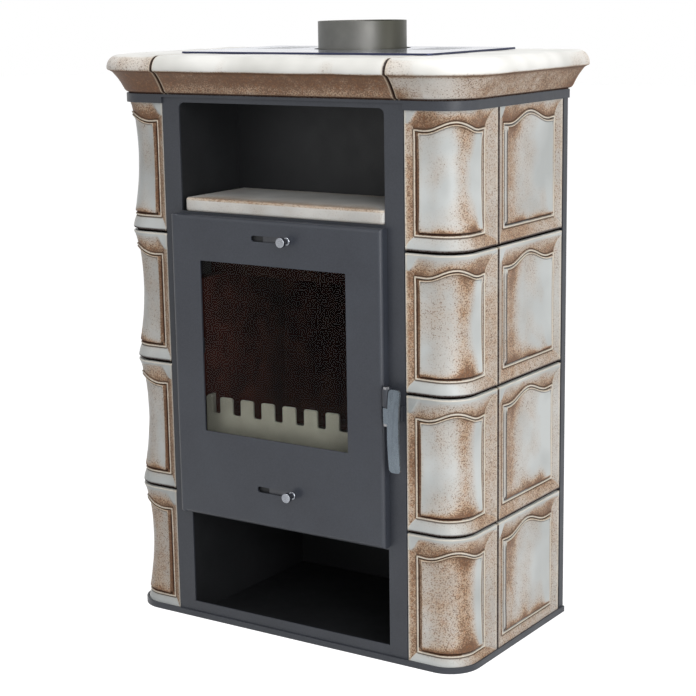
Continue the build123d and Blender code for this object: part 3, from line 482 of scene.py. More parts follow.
def steps(*spans):
    """Grid lines: each span is (start, end, pitch)."""
    lines = []
    for start, end, pitch in spans:
        count = max(1, int(round((end - start) / pitch)))
        lines.extend(start + (end - start) * k / count for k in range(count))
    lines.append(spans[-1][1])
    return np.array(lines)


FINE, MEDIUM, WIDE = 0.45, 1.2, 2.4  # pitches of the grid across a tile
EDGE_BAND = 3.2  # width of the finely divided tile edge
FOOT_BAND = (18.0, 31.5)  # rows finely divided round the foot's beads
FIELD_TOP = 110.0  # end of the lower rows before they are stretched
ARCH_BAND = 72.0  # rows follow the arch from this far below it


def tile_grid(kind):
    """Grid of (u, v) whose lines follow the beads and the arch."""
    w = kind.width
    near0, near1 = kind.left - 3.6, kind.field_left + 2.0
    far0, far1 = w - kind.field_right - 2.0, w - kind.right + 3.6
    us = steps((0.0, EDGE_BAND, FINE), (EDGE_BAND, near0, MEDIUM), (near0, near1, FINE),
               (near1, far0, WIDE), (far0, far1, FINE), (far1, w - EDGE_BAND, MEDIUM),
               (w - EDGE_BAND, w, FINE))
    foot0, foot1 = FOOT_BAND
    low_rows = steps((0.0, EDGE_BAND, FINE), (EDGE_BAND, foot0, MEDIUM), (foot0, foot1, 0.42),
                     (foot1, FIELD_TOP, 2.8))
    below = steps((-ARCH_BAND, -10.0, 2.6), (-10.0, 4.0, 0.42))
    high = steps((0.0, 0.84, 0.042), (0.84, 1.0, 0.02))
    columns = []
    for u in us:
        arch = float(kind.arch(np.array(u)))
        stretch = (arch - ARCH_BAND - foot1) / (FIELD_TOP - foot1)
        stretched = foot1 + (low_rows - foot1) * stretch
        low = np.where(low_rows > foot1, stretched, low_rows)[:-1]
        top = arch + 4.0 + (TILE_HEIGHT - arch - 4.0) * high[1:]
        columns.append(np.concatenate([low, arch + below, top]))
    v = np.array(columns)
    u = np.repeat(us[:, None], v.shape[1], axis=1)
    return u, v


def outline_distance(kind, u, v, left, right, foot, drop):
    """Signed distance to an arched outline, positive inside it."""
    xs = np.linspace(left, right, 90)
    line = [(left, foot), (right, foot)] + list(zip(xs[::-1], kind.arch(xs[::-1]) - drop))
    line.append(line[0])
    best = np.full(u.shape, 1e9)
    for (x0, y0), (x1, y1) in zip(line[:-1], line[1:]):
        dx, dy = x1 - x0, y1 - y0
        t = np.clip(((u - x0) * dx + (v - y0) * dy) / (dx * dx + dy * dy), 0.0, 1.0)
        best = np.minimum(best, np.hypot(u - x0 - t * dx, v - y0 - t * dy))
    inside = (u > left) & (u < right) & (v > foot) & (v < kind.arch(u) - drop)
    return np.where(inside, best, -best)


def ridge(q, centre, half):
    """A rounded bead across q."""
    t = np.clip(np.abs(q - centre) / half, 0.0, 1.0)
    return np.sqrt(np.maximum(0.0, 1.0 - t * t))


def line_at(q, centre, width):
    """A soft line across q."""
    return np.exp(-((q - centre) / width) ** 2)


class Relief:
    """Distances, depths and drawn lines over one kind's grid, shared by all its tiles.

    q1 is the distance inside the bead's line, q2 inside the raised field's edge, strip
    runs from 0 to 1 between them. x and y run from -1 to 1 over the field, edge is the
    distance to the tile's own edge."""

    def __init__(self, kind):
        self.kind = kind
        u, v = self.u, self.v = tile_grid(kind)
        w = kind.width
        arch = self.arch = kind.arch(u)
        q1 = self.q1 = outline_distance(kind, u, v, kind.left, w - kind.right, kind.foot, 0.0)
        q2 = self.q2 = outline_distance(kind, u, v, kind.field_left, w - kind.field_right,
                                        kind.field_foot, RIDGE_GAP)
        self.strip = np.clip((q1 - BEAD_HALF) / np.maximum(0.3, q1 - q2 - BEAD_HALF), 0, 1)
        self.upper = smoothstep(v, kind.low - 14.0, kind.low - 5.0)
        self.lower = 1.0 - smoothstep(v, kind.field_foot + 0.5, kind.field_foot + 4.0)
        middle, half = (kind.field_foot + arch) / 2, (arch - kind.field_foot) / 2
        self.y = np.clip((v - middle) / half, -1, 1)
        self.x = np.clip(kind.across(u), -1, 1)
        self.edge = np.minimum(np.minimum(u, w - u), np.minimum(v, TILE_HEIGHT - v))
        self.borders()
        self.depth = self.base_depth()
        self.dark, self.crest = self.drawn_lines()

    def borders(self):
        """The picture frame: its depth, which of four slopes a place is on (left, right,
        foot, head), how far down the head's it lies, and the mitres between them."""
        kind, u, v = self.kind, self.u, self.v
        w = kind.width
        near = np.clip((u - RIM) / (kind.left - RIM - BEAD_HALF), 0, 1)
        far = np.clip((w - u - RIM) / (kind.right - RIM - BEAD_HALF), 0, 1)
        foot = np.clip((v - FOOT_RIM) / (kind.foot - FOOT_RIM - BEAD_HALF), 0, 1)
        lip = 3.0 + 23.0 * (1 - smoothstep(u, 5.0, 27.0)) + 9.0 * np.exp(-(w - u) / 8.0)
        start = TILE_HEIGHT - lip
        head = np.clip((start - v) / (start - self.arch - BEAD_HALF), 0, 1)
        slopes = np.array([VALLEY * near ** 1.1, VALLEY * far ** 1.1, VALLEY * foot ** 1.7,
                           VALLEY * 0.95 * (1 - (1 - head) ** 1.7)])
        order = np.sort(slopes, axis=0)
        self.head = head
        self.border = order[0]
        self.which = np.argmin(slopes, axis=0)
        self.mitre = np.exp(-((order[1] - order[0]) / 0.22) ** 2) * (order[0] > 0.25)
        self.mitre *= (self.q1 < -BEAD_HALF) * (order[0] < VALLEY * 0.97)

    def base_depth(self):
        """Depth behind the tile's plane, before a tile's own unevenness."""
        q1, q2, upper, lower = self.q1, self.q2, self.upper, self.lower
        foot_hollow, middle, head_hollow = self.kind.hollow
        bend = (foot_hollow + head_hollow) / 2 - middle
        lean = (head_hollow - foot_hollow) / 2
        hollow = middle + lean * self.y + bend * self.y ** 2
        field = 0.6 + hollow * (1.0 - np.abs(self.x) ** 2.4)
        rim = np.where(upper > 0.5, np.minimum(field, 5.2), field)
        field = rim + (field - rim) * smoothstep(q2, 0.6, 7.0)
        strip = VALLEY + (rim - VALLEY) * self.strip ** (1.25 + 1.5 * lower)
        depth = np.where(q1 < 0, self.border, np.where(q2 < 0, strip, field))

        # Grooves beside the beads, then the beads, then the rounded edge.
        depth += 3.4 * lower * line_at(q2, -1.15, 0.85)
        depth += 0.9 * upper * line_at(q1, 2.15, 0.6)
        depth -= (1.3 + 0.6 * upper + 0.2 * lower) * ridge(q1, 0.0, BEAD_HALF)
        depth -= upper * ridge(q2, 0.2, 1.3)
        depth += (0.35 + 0.45 * np.maximum(upper, lower)) * line_at(q1, -2.5, 0.7)
        cut = np.clip(EDGE_R - self.edge, 0.0, EDGE_R)
        depth += EDGE_R - np.sqrt(np.maximum(0.0, EDGE_R ** 2 - cut ** 2))
        return depth

    def drawn_lines(self):
        """(dark lines: glaze pooled in the grooves with painted shade where walls face down or
        away, and bare clay at the edges; pale crests: painted highlights on ridges and edges),
        each 0 to 1.
        """
        kind, u, v = self.kind, self.u, self.v
        q1, q2, upper, lower = self.q1, self.q2, self.upper, self.lower
        tones = kind.tones
        left_side = u < kind.width / 2
        straight = (1 - upper) * (1 - lower)
        brink = np.minimum(u + tones["hem"], kind.width - u)

        # Painted highlights on the bead, the field's edges, the mitres and the tile's top and
        # side edges.
        crest = ridge(q1, 0.0, 1.1) + 0.85 * upper * ridge(q2, 0.2, 0.9)
        crest += 0.75 * straight * line_at(q2, 0.55, 0.7) * np.where(left_side, 0.35, 1.0)
        crest += 0.45 * self.mitre
        crest += 0.65 * line_at(TILE_HEIGHT - v, 1.6, 1.3)
        crest += 0.50 * line_at(brink, 4.9, 1.3)

        bead_left, bead_right, field_left = tones["lines"]
        in_strip = left_side * straight * (q1 > BEAD_HALF) * (1 - self.strip)
        # Pooled glaze in the grooves, deepened by painted shade where a wall faces down or away
        # and beside the mitres.
        dark = upper * line_at(q1, 2.35, 0.85)
        dark += 0.90 * line_at(q1, -2.7, 0.95) * (1 - 0.35 * straight)
        dark += lower * line_at(q2, -1.5, 2.0)
        dark += straight * line_at(q1, 2.7, 1.2) * np.where(left_side, bead_left, bead_right)
        dark += straight * line_at(q2, -0.7, 1.1) * np.where(left_side, field_left, 1.0)
        dark += 0.62 * np.clip(tones["strip_dark"] * in_strip, 0, 1)
        dark += 0.7 * upper * line_at(q2, 2.0, 0.9)
        dark += 0.40 * np.roll(self.mitre, 2, axis=1) * (self.mitre < 0.4)
        dark += 1 - smoothstep(brink, 2.1, 3.4)
        dark += 1 - smoothstep(v, 1.6, 4.4)
        return np.clip(dark, 0, 1), np.clip(crest, 0, 1)


def frame_brown(relief, seed, row, tone):
    """Brown on the picture frame's slopes: left, right, foot and head."""
    kind, u, v = relief.kind, relief.u, relief.v
    tones = kind.tones
    foot_left, foot_right = tones["foot"]
    along = np.clip(u / kind.width, 0, 1)
    foot = foot_left + (foot_right - foot_left) * smoothstep(along, 0.35, 0.85)
    spread = np.clip(0.62 + wobble(u, v, seed + 6, 0.9, 80.0), 0.2, 1.0)
    beside_crown = 0.55 + 0.45 * np.clip(np.abs(relief.x) * 1.5 - 0.1, 0, 1)
    head = 0.12 + relief.head ** (0.45 + 0.9 * (1 - spread)) * beside_crown
    brown = np.choose(relief.which, [tones["left"] * tone[0], tones["right"] * tone[1],
                                     foot * tone[2], head * HEAD_TONES[row]])
    near_bead = np.exp(-np.maximum(0.0, -relief.q1 - 1.5) / 5.0)
    brown = brown + np.where(relief.which == HEAD_SLOPE, 0.25, 0.16) * near_bead
    # Less brown near the tile's rounded edges and along its top: a painted highlight.
    brown = brown * (0.25 + 0.75 * smoothstep(relief.edge, 1.2, 4.0))
    return brown * (0.25 + 0.75 * smoothstep(TILE_HEIGHT - v, 3.0, 9.0))


def field_brown(relief, seed, row, tone):
    """Brown on the raised field: up from its foot, under the arch and in streaks, some of it
    painted shade, and paler to the right as a painted highlight.
    """
    kind, u, v = relief.kind, relief.u, relief.v
    tones = kind.tones
    row_tone = FIELD_TONES[row] * tones["speckled"]
    drift = 0.5 + wobble(u, v, seed + 3, 0.9, 95.0)
    height = np.maximum(0.0, v - kind.field_foot)
    reach_left, reach_right = tones["glow"]
    reach = reach_left + (reach_right - reach_left) * smoothstep(relief.x, -0.3, 0.7)
    glow = 0.95 * tone[5] * np.exp(-(height / (reach * (0.6 + 0.8 * drift))) ** 1.1)
    glow = glow * (0.45 + 0.75 * np.clip(0.5 + wobble(u, v, seed + 5, 1.1, 70.0), 0, 1))
    below_arch = np.maximum(0.0, relief.arch - RIDGE_GAP - v)
    crown = 0.50 * tone[6] * np.exp(-below_arch / 26.0)
    crown = crown * (0.12 + 0.88 * line_at(relief.x, tones["crown"], 0.34))
    field = tones["field"] + row_tone + glow + crown + 0.20 * np.clip(drift - 0.15, 0, 1)
    field = field + 0.18 * np.exp(-np.maximum(0.0, relief.q2) / 2.0)
    # Upright streaks: the corner's strong band past its bend and the side tile's band at its left
    # are painted shade.
    for place, width, strength, fading in tones["streaks"]:
        held = 1.0 - fading * np.clip(0.5 + 0.5 * relief.y, 0, 1)
        field = field + strength * line_at(relief.x, place, width) * held
    field = field + row_tone * np.exp(-(relief.x / 0.6) ** 4)
    # The field's right part loses most of its brown: a painted highlight where the surface turns
    # to the light.
    return field * (1 - 0.9 * smoothstep(relief.x, 0.52, 0.80) * (1 - relief.lower))


def tile_relief(relief, seed, row):
    """(depth behind the face, colour mask) of one tile over its kind's grid."""
    u, v = relief.u, relief.v
    uneven = 0.30 + wobble(u, v, seed, 0.30, 60.0) + wobble(u, v, seed + 1, 0.08, 17.0)
    depth = relief.depth + smoothstep(relief.edge, 0.5, 8.0) * uneven
    depth = np.maximum(depth, STAND_BACK)

    tone = np.random.default_rng(seed + 2).uniform(*TONE_SPREAD, 8)
    strip_left, strip_right = relief.kind.tones["strip"]
    strip = np.where(u < relief.kind.width / 2, strip_left, strip_right)
    strip = strip * (1.30 - 0.50 * relief.strip) * tone[4]
    brown = np.where(relief.q2 > 0, field_brown(relief, seed, row, tone),
                     np.where(relief.q1 > 0, strip, frame_brown(relief, seed, row, tone)))
    brown = brown * (1 - 0.9 * ridge(relief.q1, 0.0, BEAD_HALF))
    mask = np.stack([np.clip(brown, 0, 1.5), relief.dark, relief.crest], axis=-1)
    return depth, mask


def corner_surface(u, v, d):
    """Developed place to working millimetres on the right corner tile."""
    front = SIDE_X - CORNER_R - CORNER_X0
    bend = math.pi / 2 * CORNER_R
    angle = np.clip((u - front) / CORNER_R, 0.0, math.pi / 2)
    along = np.clip(u - front - bend, 0.0, None)
    radius = CORNER_R - d
    x = np.where(u < front, CORNER_X0 + u, SIDE_X - CORNER_R + radius * np.sin(angle))
    y = np.where(u < front, d, CORNER_R - radius * np.cos(angle) + along)
    return np.stack([x, y, v], axis=-1)


def side_surface(u, v, d):
    """The same on the flat right side tile."""
    return np.stack([SIDE_X - d, SIDE_TILE_Y0 + u, v], axis=-1)


BACK_MASK = (1.2, 1.0, 0.0)  # bare dark clay


def tile_mesh(relief, seed, row, flip):
    """Closed mesh of one tile: moulded face, edges and plain back."""
    kind, u, v = relief.kind, relief.u, relief.v
    depth, mask = tile_relief(relief, seed, row)
    face = kind.surface(u, v, depth)
    cols, rows = u.shape
    back_u = u[:, 0]
    back_low = kind.surface(back_u, np.zeros(cols), np.full(cols, TILE_DEPTH))
    back_high = kind.surface(back_u, np.full(cols, TILE_HEIGHT), np.full(cols, TILE_DEPTH))
    points = np.concatenate([face.reshape(-1, 3), back_low, back_high])
    masks = np.concatenate([mask.reshape(-1, 3), np.tile(BACK_MASK, (2 * cols, 1))])
    number = np.arange(cols * rows).reshape(cols, rows)
    low = cols * rows + np.arange(cols)
    high = low + cols
    a, b = number[:-1, :-1].ravel(), number[1:, :-1].ravel()
    c, d = number[1:, 1:].ravel(), number[:-1, 1:].ravel()
    faces = np.stack([a, b, c, d], axis=1).tolist()
    for i in range(cols - 1):
        faces.append([number[i + 1, 0], number[i, 0], low[i], low[i + 1]])
        faces.append([number[i, -1], number[i + 1, -1], high[i + 1], high[i]])
        faces.append([low[i + 1], low[i], high[i], high[i + 1]])
    faces.append([low[0]] + number[0, :].tolist() + [high[0]])
    faces.append([high[-1]] + number[-1, ::-1].tolist() + [low[-1]])
    points[:, 2] += TILE_FOOT_Z + row * ROW_PITCH
    if flip:
        points[:, 0] *= -1
        faces = [f[::-1] for f in faces]
    return points, faces, masks


# Tones. Brown: "left", "right" and "foot" (both ends) on the frame, "strip" and "field"
# inside the bead, "glow" its reach above the field's foot in millimetres (left, right),
# "crown" the place where it gathers under the arch, "streaks" upright bands (place, half
# width, strength, fading towards the head), "speckled" how much of FIELD_TONES counts.
# Dark: "lines" beside the bead (left, right) and the field (left), "strip_dark" on the
# left strip. "hem" moves the line along the left edge.
CORNER = TileKind(
    width=SIDE_X - CORNER_R - CORNER_X0 + math.pi / 2 * CORNER_R + CORNER_LEG_Y - CORNER_R,
    sides=(16.0, 36.0), field_sides=(25.0, 46.5), crown=196.5, rise=13.3,
    hollow=(2.8, 12.0, 7.0), surface=corner_surface,
    tones={"left": 0.74, "right": 0.42, "foot": (0.12, 0.66), "strip": (1.1, 0.50),
           "field": 0.05, "glow": (4.0, 17.0), "crown": 0.30,
           "streaks": [(0.28, 0.24, 0.42, 0.30), (-0.50, 0.30, 0.10, -0.4)],
           "lines": (0.75, 0.95, 0.35), "strip_dark": 1.0, "hem": 1.6, "speckled": 1.0})
SIDE = TileKind(
    width=SIDE_TILE_WIDTH, sides=(23.5, 23.5), field_sides=(32.0, 32.0), crown=200.9,
    rise=15.9, hollow=(1.5, 6.0, 3.5), surface=side_surface,
    tones={"left": 0.48, "right": 0.34, "foot": (0.60, 0.50), "strip": (0.26, 0.62),
           "field": 0.06, "glow": (8.0, 11.0), "crown": -0.65,
           "streaks": [(-0.74, 0.30, 0.46, -0.3), (-0.10, 0.35, 0.12, 0.0)],
           "lines": (0.85, 0.95, 1.0), "strip_dark": 0.15, "hem": 0.0, "speckled": 0.1})


def build_tiles():
    for label, kind, offset in (("corner", CORNER, 0), ("side", SIDE, 500)):
        relief = Relief(kind)
        for row in range(ROWS):
            for side, flip in (("right", False), ("left", True)):
                seed = 40 + 20 * row + 7 * flip + offset
                node = f"{label}_tile_{side}_{row + 1}"
                points, faces, masks = tile_mesh(relief, seed, row, flip)
                piece = new_piece("glazed_" + node, points, faces, "tile_glaze", masks, 60.0)
                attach(piece, "stove")
                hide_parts(node)


# ---- cornice
def arc(points, count):
    """Points on the circle through three points, without the first."""
    (x0, y0), (x1, y1), (x2, y2) = points
    d = 2 * (x0 * (y1 - y2) + x1 * (y2 - y0) + x2 * (y0 - y1))
    s0, s1, s2 = x0 * x0 + y0 * y0, x1 * x1 + y1 * y1, x2 * x2 + y2 * y2
    cx = (s0 * (y1 - y2) + s1 * (y2 - y0) + s2 * (y0 - y1)) / d
    cy = (s0 * (x2 - x1) + s1 * (x0 - x2) + s2 * (x1 - x0)) / d
    r = math.hypot(x0 - cx, y0 - cy)
    a0 = math.atan2(y0 - cy, x0 - cx)
    a1 = math.atan2(y1 - cy, x1 - cx)
    a2 = math.atan2(y2 - cy, x2 - cx)
    turn = 2 * math.pi
    if (a1 - a0) % turn < (a2 - a0) % turn:
        span = (a2 - a0) % turn
    else:
        span = (a2 - a0) % turn - turn
    angles = [a0 + span * k / count for k in range(1, count + 1)]
    return [(cx + r * math.cos(a), cy + r * math.sin(a)) for a in angles]


def moulding_profile():
    """(distance behind the nose, height) from the foot round the nose to the top."""
    line = [(CORNICE_FOOT + 4.0, 0.0), (CORNICE_FOOT + 3.6, 1.6)]
    line += arc([line[-1], (COVE_START[0] + 3.4, 3.4), COVE_START], 10)
    for k in range(1, COVE_STEPS + 1):
        # Nearly straight at its foot, running out under the nose.
        t = k / COVE_STEPS
        back = COVE_START[0] + (COVE_END[0] - COVE_START[0]) * (0.75 * t + 0.25 * t ** 2.5)
        line.append((back, COVE_START[1] + (COVE_END[1] - COVE_START[1]) * t))
    line += [(6.0, 37.2), (3.8, 38.2)]
    line += arc([line[-1], (1.0, 39.6), (0.0, NOSE_LOW)], 7)
    for k in range(1, NOSE_STEPS + 1):
        angle = math.pi / 2 * k / NOSE_STEPS
        line.append((NOSE_ROUND * (1 - math.cos(angle)),
                     NOSE_LOW + (CORNICE_HEIGHT - NOSE_LOW) * math.sin(angle)))
    line += [(back, CORNICE_HEIGHT) for back in (25.0, 28.0, 33.0, 40.0, 50.0, CORNICE_WEB)]
    return np.array(line)


def profile_normals(line):
    """Outward unit normals of the open profile."""
    tangent = np.gradient(line, axis=0)
    normal = np.stack([-tangent[:, 1], tangent[:, 0]], axis=1)
    normal /= np.maximum(1e-9, np.hypot(normal[:, 0], normal[:, 1]))[:, None]
    return normal


NEAR_CUT = steps((0.0, 3.6, 0.4), (3.6, 12.0, 1.6))  # samples by their distance to a cut


def centre_path():
    """Samples along the centre piece: (nose point, inward direction, inner point,
    distance to the nearest cut)."""
    end = CORNICE_CUT_X - CORNICE_HALF_JOINT
    xs = np.concatenate([-end + NEAR_CUT, np.linspace(-end + 18, end - 18, 60),
                         end - NEAR_CUT[::-1]])
    return [((x, NOSE_Y), (0.0, 1.0), (x, CORNICE_OPEN_FRONT), end - abs(x)) for x in xs]


def corner_path():
    """The same samples from the right cut, round the bend, to the rear."""
    bend_x = NOSE_X - CORNICE_BEND_R
    bend_y = NOSE_Y + CORNICE_BEND_R
    cut = CORNICE_CUT_X + CORNICE_HALF_JOINT
    samples = []
    for x in np.concatenate([cut + NEAR_CUT, np.linspace(cut + 16, bend_x, 8)]):
        inner = (min(x, CORNICE_OPEN_HALF),
                 CORNICE_OPEN_FRONT + max(0.0, (x - CORNICE_OPEN_HALF) * 0.1))
        samples.append(((x, NOSE_Y), (0.0, 1.0), inner, x - cut))
    start_y = samples[-1][2][1]
    for k in range(1, BEND_STEPS + 1):
        angle = math.pi / 2 * k / BEND_STEPS
        nose = (bend_x + CORNICE_BEND_R * math.sin(angle),
                bend_y - CORNICE_BEND_R * math.cos(angle))
        inner = (CORNICE_OPEN_HALF, start_y + BEND_INNER_RUN * k / BEND_STEPS)
        samples.append((nose, (-math.sin(angle), math.cos(angle)), inner, NO_CUT_NEAR))
    first_inner = start_y + BEND_INNER_RUN
    for y in np.concatenate([np.linspace(bend_y + 8, REAR_Y - 16, 36),
                             REAR_Y - NEAR_CUT[::-1]]):
        t = (y - bend_y) / (REAR_Y - bend_y)
        inner = (CORNICE_OPEN_HALF, first_inner + (REAR_Y - first_inner) * t)
        samples.append(((NOSE_X, y), (-1.0, 0.0), inner, REAR_Y - y))
    return samples


SHELF_MASK = (0.1, 0.0, 0.0)
UNGLAZED_MASK = (0.3, 0.9, 0.0)


def cornice_mask(line, gap, turned, tone, patch):
    """Mask of one ring: the moulding from foot to top, then the four inner points.

    gap is the distance to the nearest cut, turned goes from 0 at the front to 1 along
    the side, patch is the uneven share of brown."""
    heights = line[:, 1]
    cove = 1 - smoothstep(heights, NOSE_EDGE - 2.5, NOSE_EDGE + 2.5)
    cove = cove * smoothstep(heights, 0.2, 2.0)
    low_band = 1 - smoothstep(heights, 8.0, 26.0)
    brown = (tone["cove"] + tone["side"] * turned) * cove * (1.0 - tone["low_pale"] * low_band)
    brown = brown + tone["crease"] * line_at(heights, NOSE_EDGE - 0.5, 2.6) + tone["all"]
    brown = brown + tone["ends"] * math.exp(-gap / 40.0) * (0.55 + 0.75 * low_band)
    brown = brown + 0.20 * patch
    top = smoothstep(line[:, 0], 8.0, 16.0) * (heights > NOSE_LOW + 6.0)
    brown = brown * (1 - 0.75 * top)
    # Painted shadow under the foot, and painted shade in the hollow under the nose.
    dark = 1.0 - smoothstep(heights, *FOOT_SHADOW) + tone["cove_shade"] * cove
    # A painted shadow line under the nose's lower edge.
    dark = dark + 0.35 * line_at(heights, NOSE_EDGE - 0.5, 1.3)
    dark = dark + math.exp(-max(0.0, gap - 0.6) / 0.8)
    # A pale rim by each cut: a painted highlight on the rounded cut edges.
    crest = np.full(len(line), 0.60 * math.exp(-((gap - 2.4) / 1.2) ** 2))
    ring = np.stack([np.clip(brown, 0, 1.4), np.clip(dark, 0, 1), crest], axis=1)
    return np.concatenate([ring, np.repeat([SHELF_MASK, UNGLAZED_MASK], 2, axis=0)])


def cornice_piece(node, path, flip, seed, tone):
    """One cornice piece: the moulding swept along its path, with a flat inner shelf."""
    line = moulding_profile()
    normals = profile_normals(line)
    heights = line[:, 1]
    foot_hold = smoothstep(heights, 0.5, 6.0)
    run = np.cumsum([0.0] + [math.dist(a[0], b[0]) for a, b in zip(path[:-1], path[1:])])
    length = np.concatenate([[0.0], np.cumsum(np.hypot(*np.diff(line, axis=0).T))])
    along, over = np.meshgrid(run + seed * 10.0, length, indexing="ij")
    uneven = wobble(along, over, seed, 0.45, 120.0) + wobble(along, over, seed + 1, 0.12, 24.0)
    patch = np.clip(wobble(along, over, seed + 3, 1.0, 90.0), 0, 1)
    points = []
    masks = []
    for i, (nose, inward, inner, gap) in enumerate(path):
        near = max(0.0, CUT_R - gap)
        drop = CUT_R - math.sqrt(max(0.0, CUT_R ** 2 - near ** 2))
        shift = -(0.5 + drop) * normals - uneven[i][:, None] * normals
        back = np.maximum(line[:, 0] + shift[:, 0], STAND_BACK)
        high = np.clip(heights + shift[:, 1] * foot_hold, 0.0, CORNICE_HEIGHT - STAND_BACK)
        points += [(nose[0] + inward[0] * t, nose[1] + inward[1] * t, CORNICE_Z + h)
                   for t, h in zip(back, high)]
        web = (nose[0] + inward[0] * CORNICE_WEB, nose[1] + inward[1] * CORNICE_WEB)
        top = CORNICE_Z + high[-1]
        points += [(*inner, top), (*inner, top - SHELF_THICKNESS),
                   (*web, CORNICE_Z + CORNICE_HEIGHT - SHELF_THICKNESS), (*web, CORNICE_Z)]
        turned = smoothstep(float(i), 0.22 * len(path), 0.56 * len(path))
        masks.append(cornice_mask(line, gap, turned, tone, patch[i]))
    size = len(line) + 4
    faces = []
    for i in range(len(path) - 1):
        for j in range(size):
            k = (j + 1) % size
            faces.append([i * size + j, (i + 1) * size + j, (i + 1) * size + k, i * size + k])
    faces.append(list(range(size)))
    faces.append([(len(path) - 1) * size + j for j in reversed(range(size))])
    points = np.array(points)
    if flip:
        points[:, 0] *= -1
        faces = [f[::-1] for f in faces]
    piece = new_piece("glazed_" + node, points, faces, "cornice_glaze", np.concatenate(masks),
                      50.0)
    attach(piece, "stove")
    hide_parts(node)


# "cove", "crease" and "all" are the brown in the hollow, at its upper edge and everywhere,
# "ends" that by a cut, "side" the hollow's extra along the side, "low_pale" the share that
# the hollow's foot lacks, and the last key is painted shade in the hollow.
CORNICE_TONES = {
    "centre": {"cove": 1.16, "crease": 0.30, "all": 0.03, "ends": 0.05, "side": 0.0,
               "low_pale": 0.34, "cove_shade": 0.0},
    "right": {"cove": 0.12, "crease": 0.45, "all": 0.04, "ends": 0.60, "side": 0.48,
              "low_pale": 0.0, "cove_shade": 0.20},
    "left": {"cove": 1.14, "crease": 0.45, "all": 0.30, "ends": 0.10, "side": 0.0,
             "low_pale": 0.10, "cove_shade": 0.10},
}


def build_cornice():
    for place, path, flip, seed in (("centre", centre_path(), False, 3),
                                    ("right", corner_path(), False, 11),
                                    ("left", corner_path(), True, 17)):
        cornice_piece("cornice_" + place, path, flip, seed, CORNICE_TONES[place])


# ---- slab on the niche floor
def rounded_rectangle(x0, x1, y0, y1, front_r, rear_r):
    """Plan outline as (point, normal), with the same count of points whatever its size."""
    corners = [(x1 - front_r, y0 + front_r, front_r, -90), (x1 - rear_r, y1 - rear_r, rear_r, 0),
               (x0 + rear_r, y1 - rear_r, rear_r, 90), (x0 + front_r, y0 + front_r, front_r, 180)]
    ring = []
    for i, fill in enumerate(SLAB_EDGE_STEPS):
        cx, cy, r, start = corners[i]
        for k in range(7):
            angle = math.radians(start + 15 * k)
            normal = (math.cos(angle), math.sin(angle))
            here = (cx + r * normal[0], cy + r * normal[1])
            ring.append((here, normal))
        nx, ny, next_r, _ = corners[(i + 1) % 4]
        there = (nx + next_r * normal[0], ny + next_r * normal[1])
        for k in range(1, fill):
            t = k / fill
            place = (here[0] + (there[0] - here[0]) * t, here[1] + (there[1] - here[1]) * t)
            ring.append((place, normal))
    return ring


def slab_section():
    """(inset, height) up the slab's edge and across its top."""
    low, high = SLAB_Z
    r = SLAB_EDGE_R
    turns = [math.pi / 2 * k / 7 for k in range(8)]
    section = [(r * (1 - math.sin(a)), low + r * (1 - math.cos(a))) for a in turns]
    section += [(0.0, low + r + (high - low - 2 * r) * t) for t in (0.25, 0.5, 0.75)]
    section += [(r * (1 - math.cos(a)), high - r * (1 - math.sin(a))) for a in turns]
    section += [(inset, high - 0.25) for inset in (6.0, 8.0, 11.0, 15.0, 20.0, 27.0, 36.0, 50.0)]
    return section


def build_slab():
    """Glazed slab: rounded edges, a pale rim as a painted highlight, brown spray along its top
    front edge.
    """
    low, high = SLAB_Z
    points = []
    masks = []
    for inset, z in slab_section():
        outline = rounded_rectangle(
            SLAB_X[0] + inset, SLAB_X[1] - inset, SLAB_Y[0] + inset, SLAB_Y[1] - inset,
            max(1.0, SLAB_FRONT_R - inset), max(1.0, SLAB_REAR_R - inset))
        on_top = z > high - SLAB_EDGE_R
        band = (0.44 * math.exp(-(inset / 24.0) ** 2) + 0.12) * on_top
        # A pale rim along the top and bottom edges, brightest at the ends: a painted highlight.
        rim = 0.8 * math.exp(-((inset - 0.9) / 0.8) ** 2) * (z > high - SLAB_EDGE_R - 1)
        rim += 0.4 * math.exp(-((inset - 1.3) / 1.1) ** 2) * (z < low + SLAB_EDGE_R)
        # Painted shade along the slab's foot, where it sits on the niche floor.
        dark = 0.7 * (z < low + 0.8)
        for place, normal in outline:
            front = smoothstep(-normal[1], 0.3, 0.9)
            end = smoothstep(abs(place[0] - SLAB_MIDDLE_X), 165.0, 192.0)
            points.append((place[0], place[1], z))
            speck = 0.05 + band * (0.45 + 0.55 * front) * (1 - 0.5 * end)
            speck = speck + 0.14 * front * (1 - on_top)
            masks.append((speck, dark, min(1.0, rim * (0.35 + 0.65 * end))))
    count = len(outline)
    faces = []
    for level in range(len(points) // count - 1):
        for i in range(count):
            j = (i + 1) % count
            a, b = level * count, (level + 1) * count
            faces.append([a + i, a + j, b + j, b + i])
    faces.append(list(range(len(points) - count, len(points))))
    faces.append(list(reversed(range(count))))
    piece = new_piece("glazed_niche_shelf_tile", points, faces, "slab_glaze", np.array(masks),
                      50.0)
    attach(piece, "stove")
    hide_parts("niche_shelf_tile")


build_tiles()
build_cornice()
build_slab()


# ---- carried-over nodes
BEVELS = {"door_panel": 1.8, "firebrick_left": 1.5, "firebrick_right": 1.5,
          "firebrick_back": 1.5, "firebrick_floor": 1.5, "baffle_plate": 1.5,
          "handle_lever": 2.2, "handle_bracket": 0.8, "log_retainer": 0.8}
for part in frame["record"]["subparts"]:
    obj = nodes[part["node"]]
    obj.data.materials.clear()
    obj.data.materials.append(MATERIALS[part["material_slot"]])
    if part["node"] in BEVELS:
        bevel = obj.modifiers.new("worn_edges", "BEVEL")
        bevel.width = BEVELS[part["node"]] * MM
        bevel.segments = 3
        bevel.limit_method = "ANGLE"
        bevel.angle_limit = math.radians(35.0)


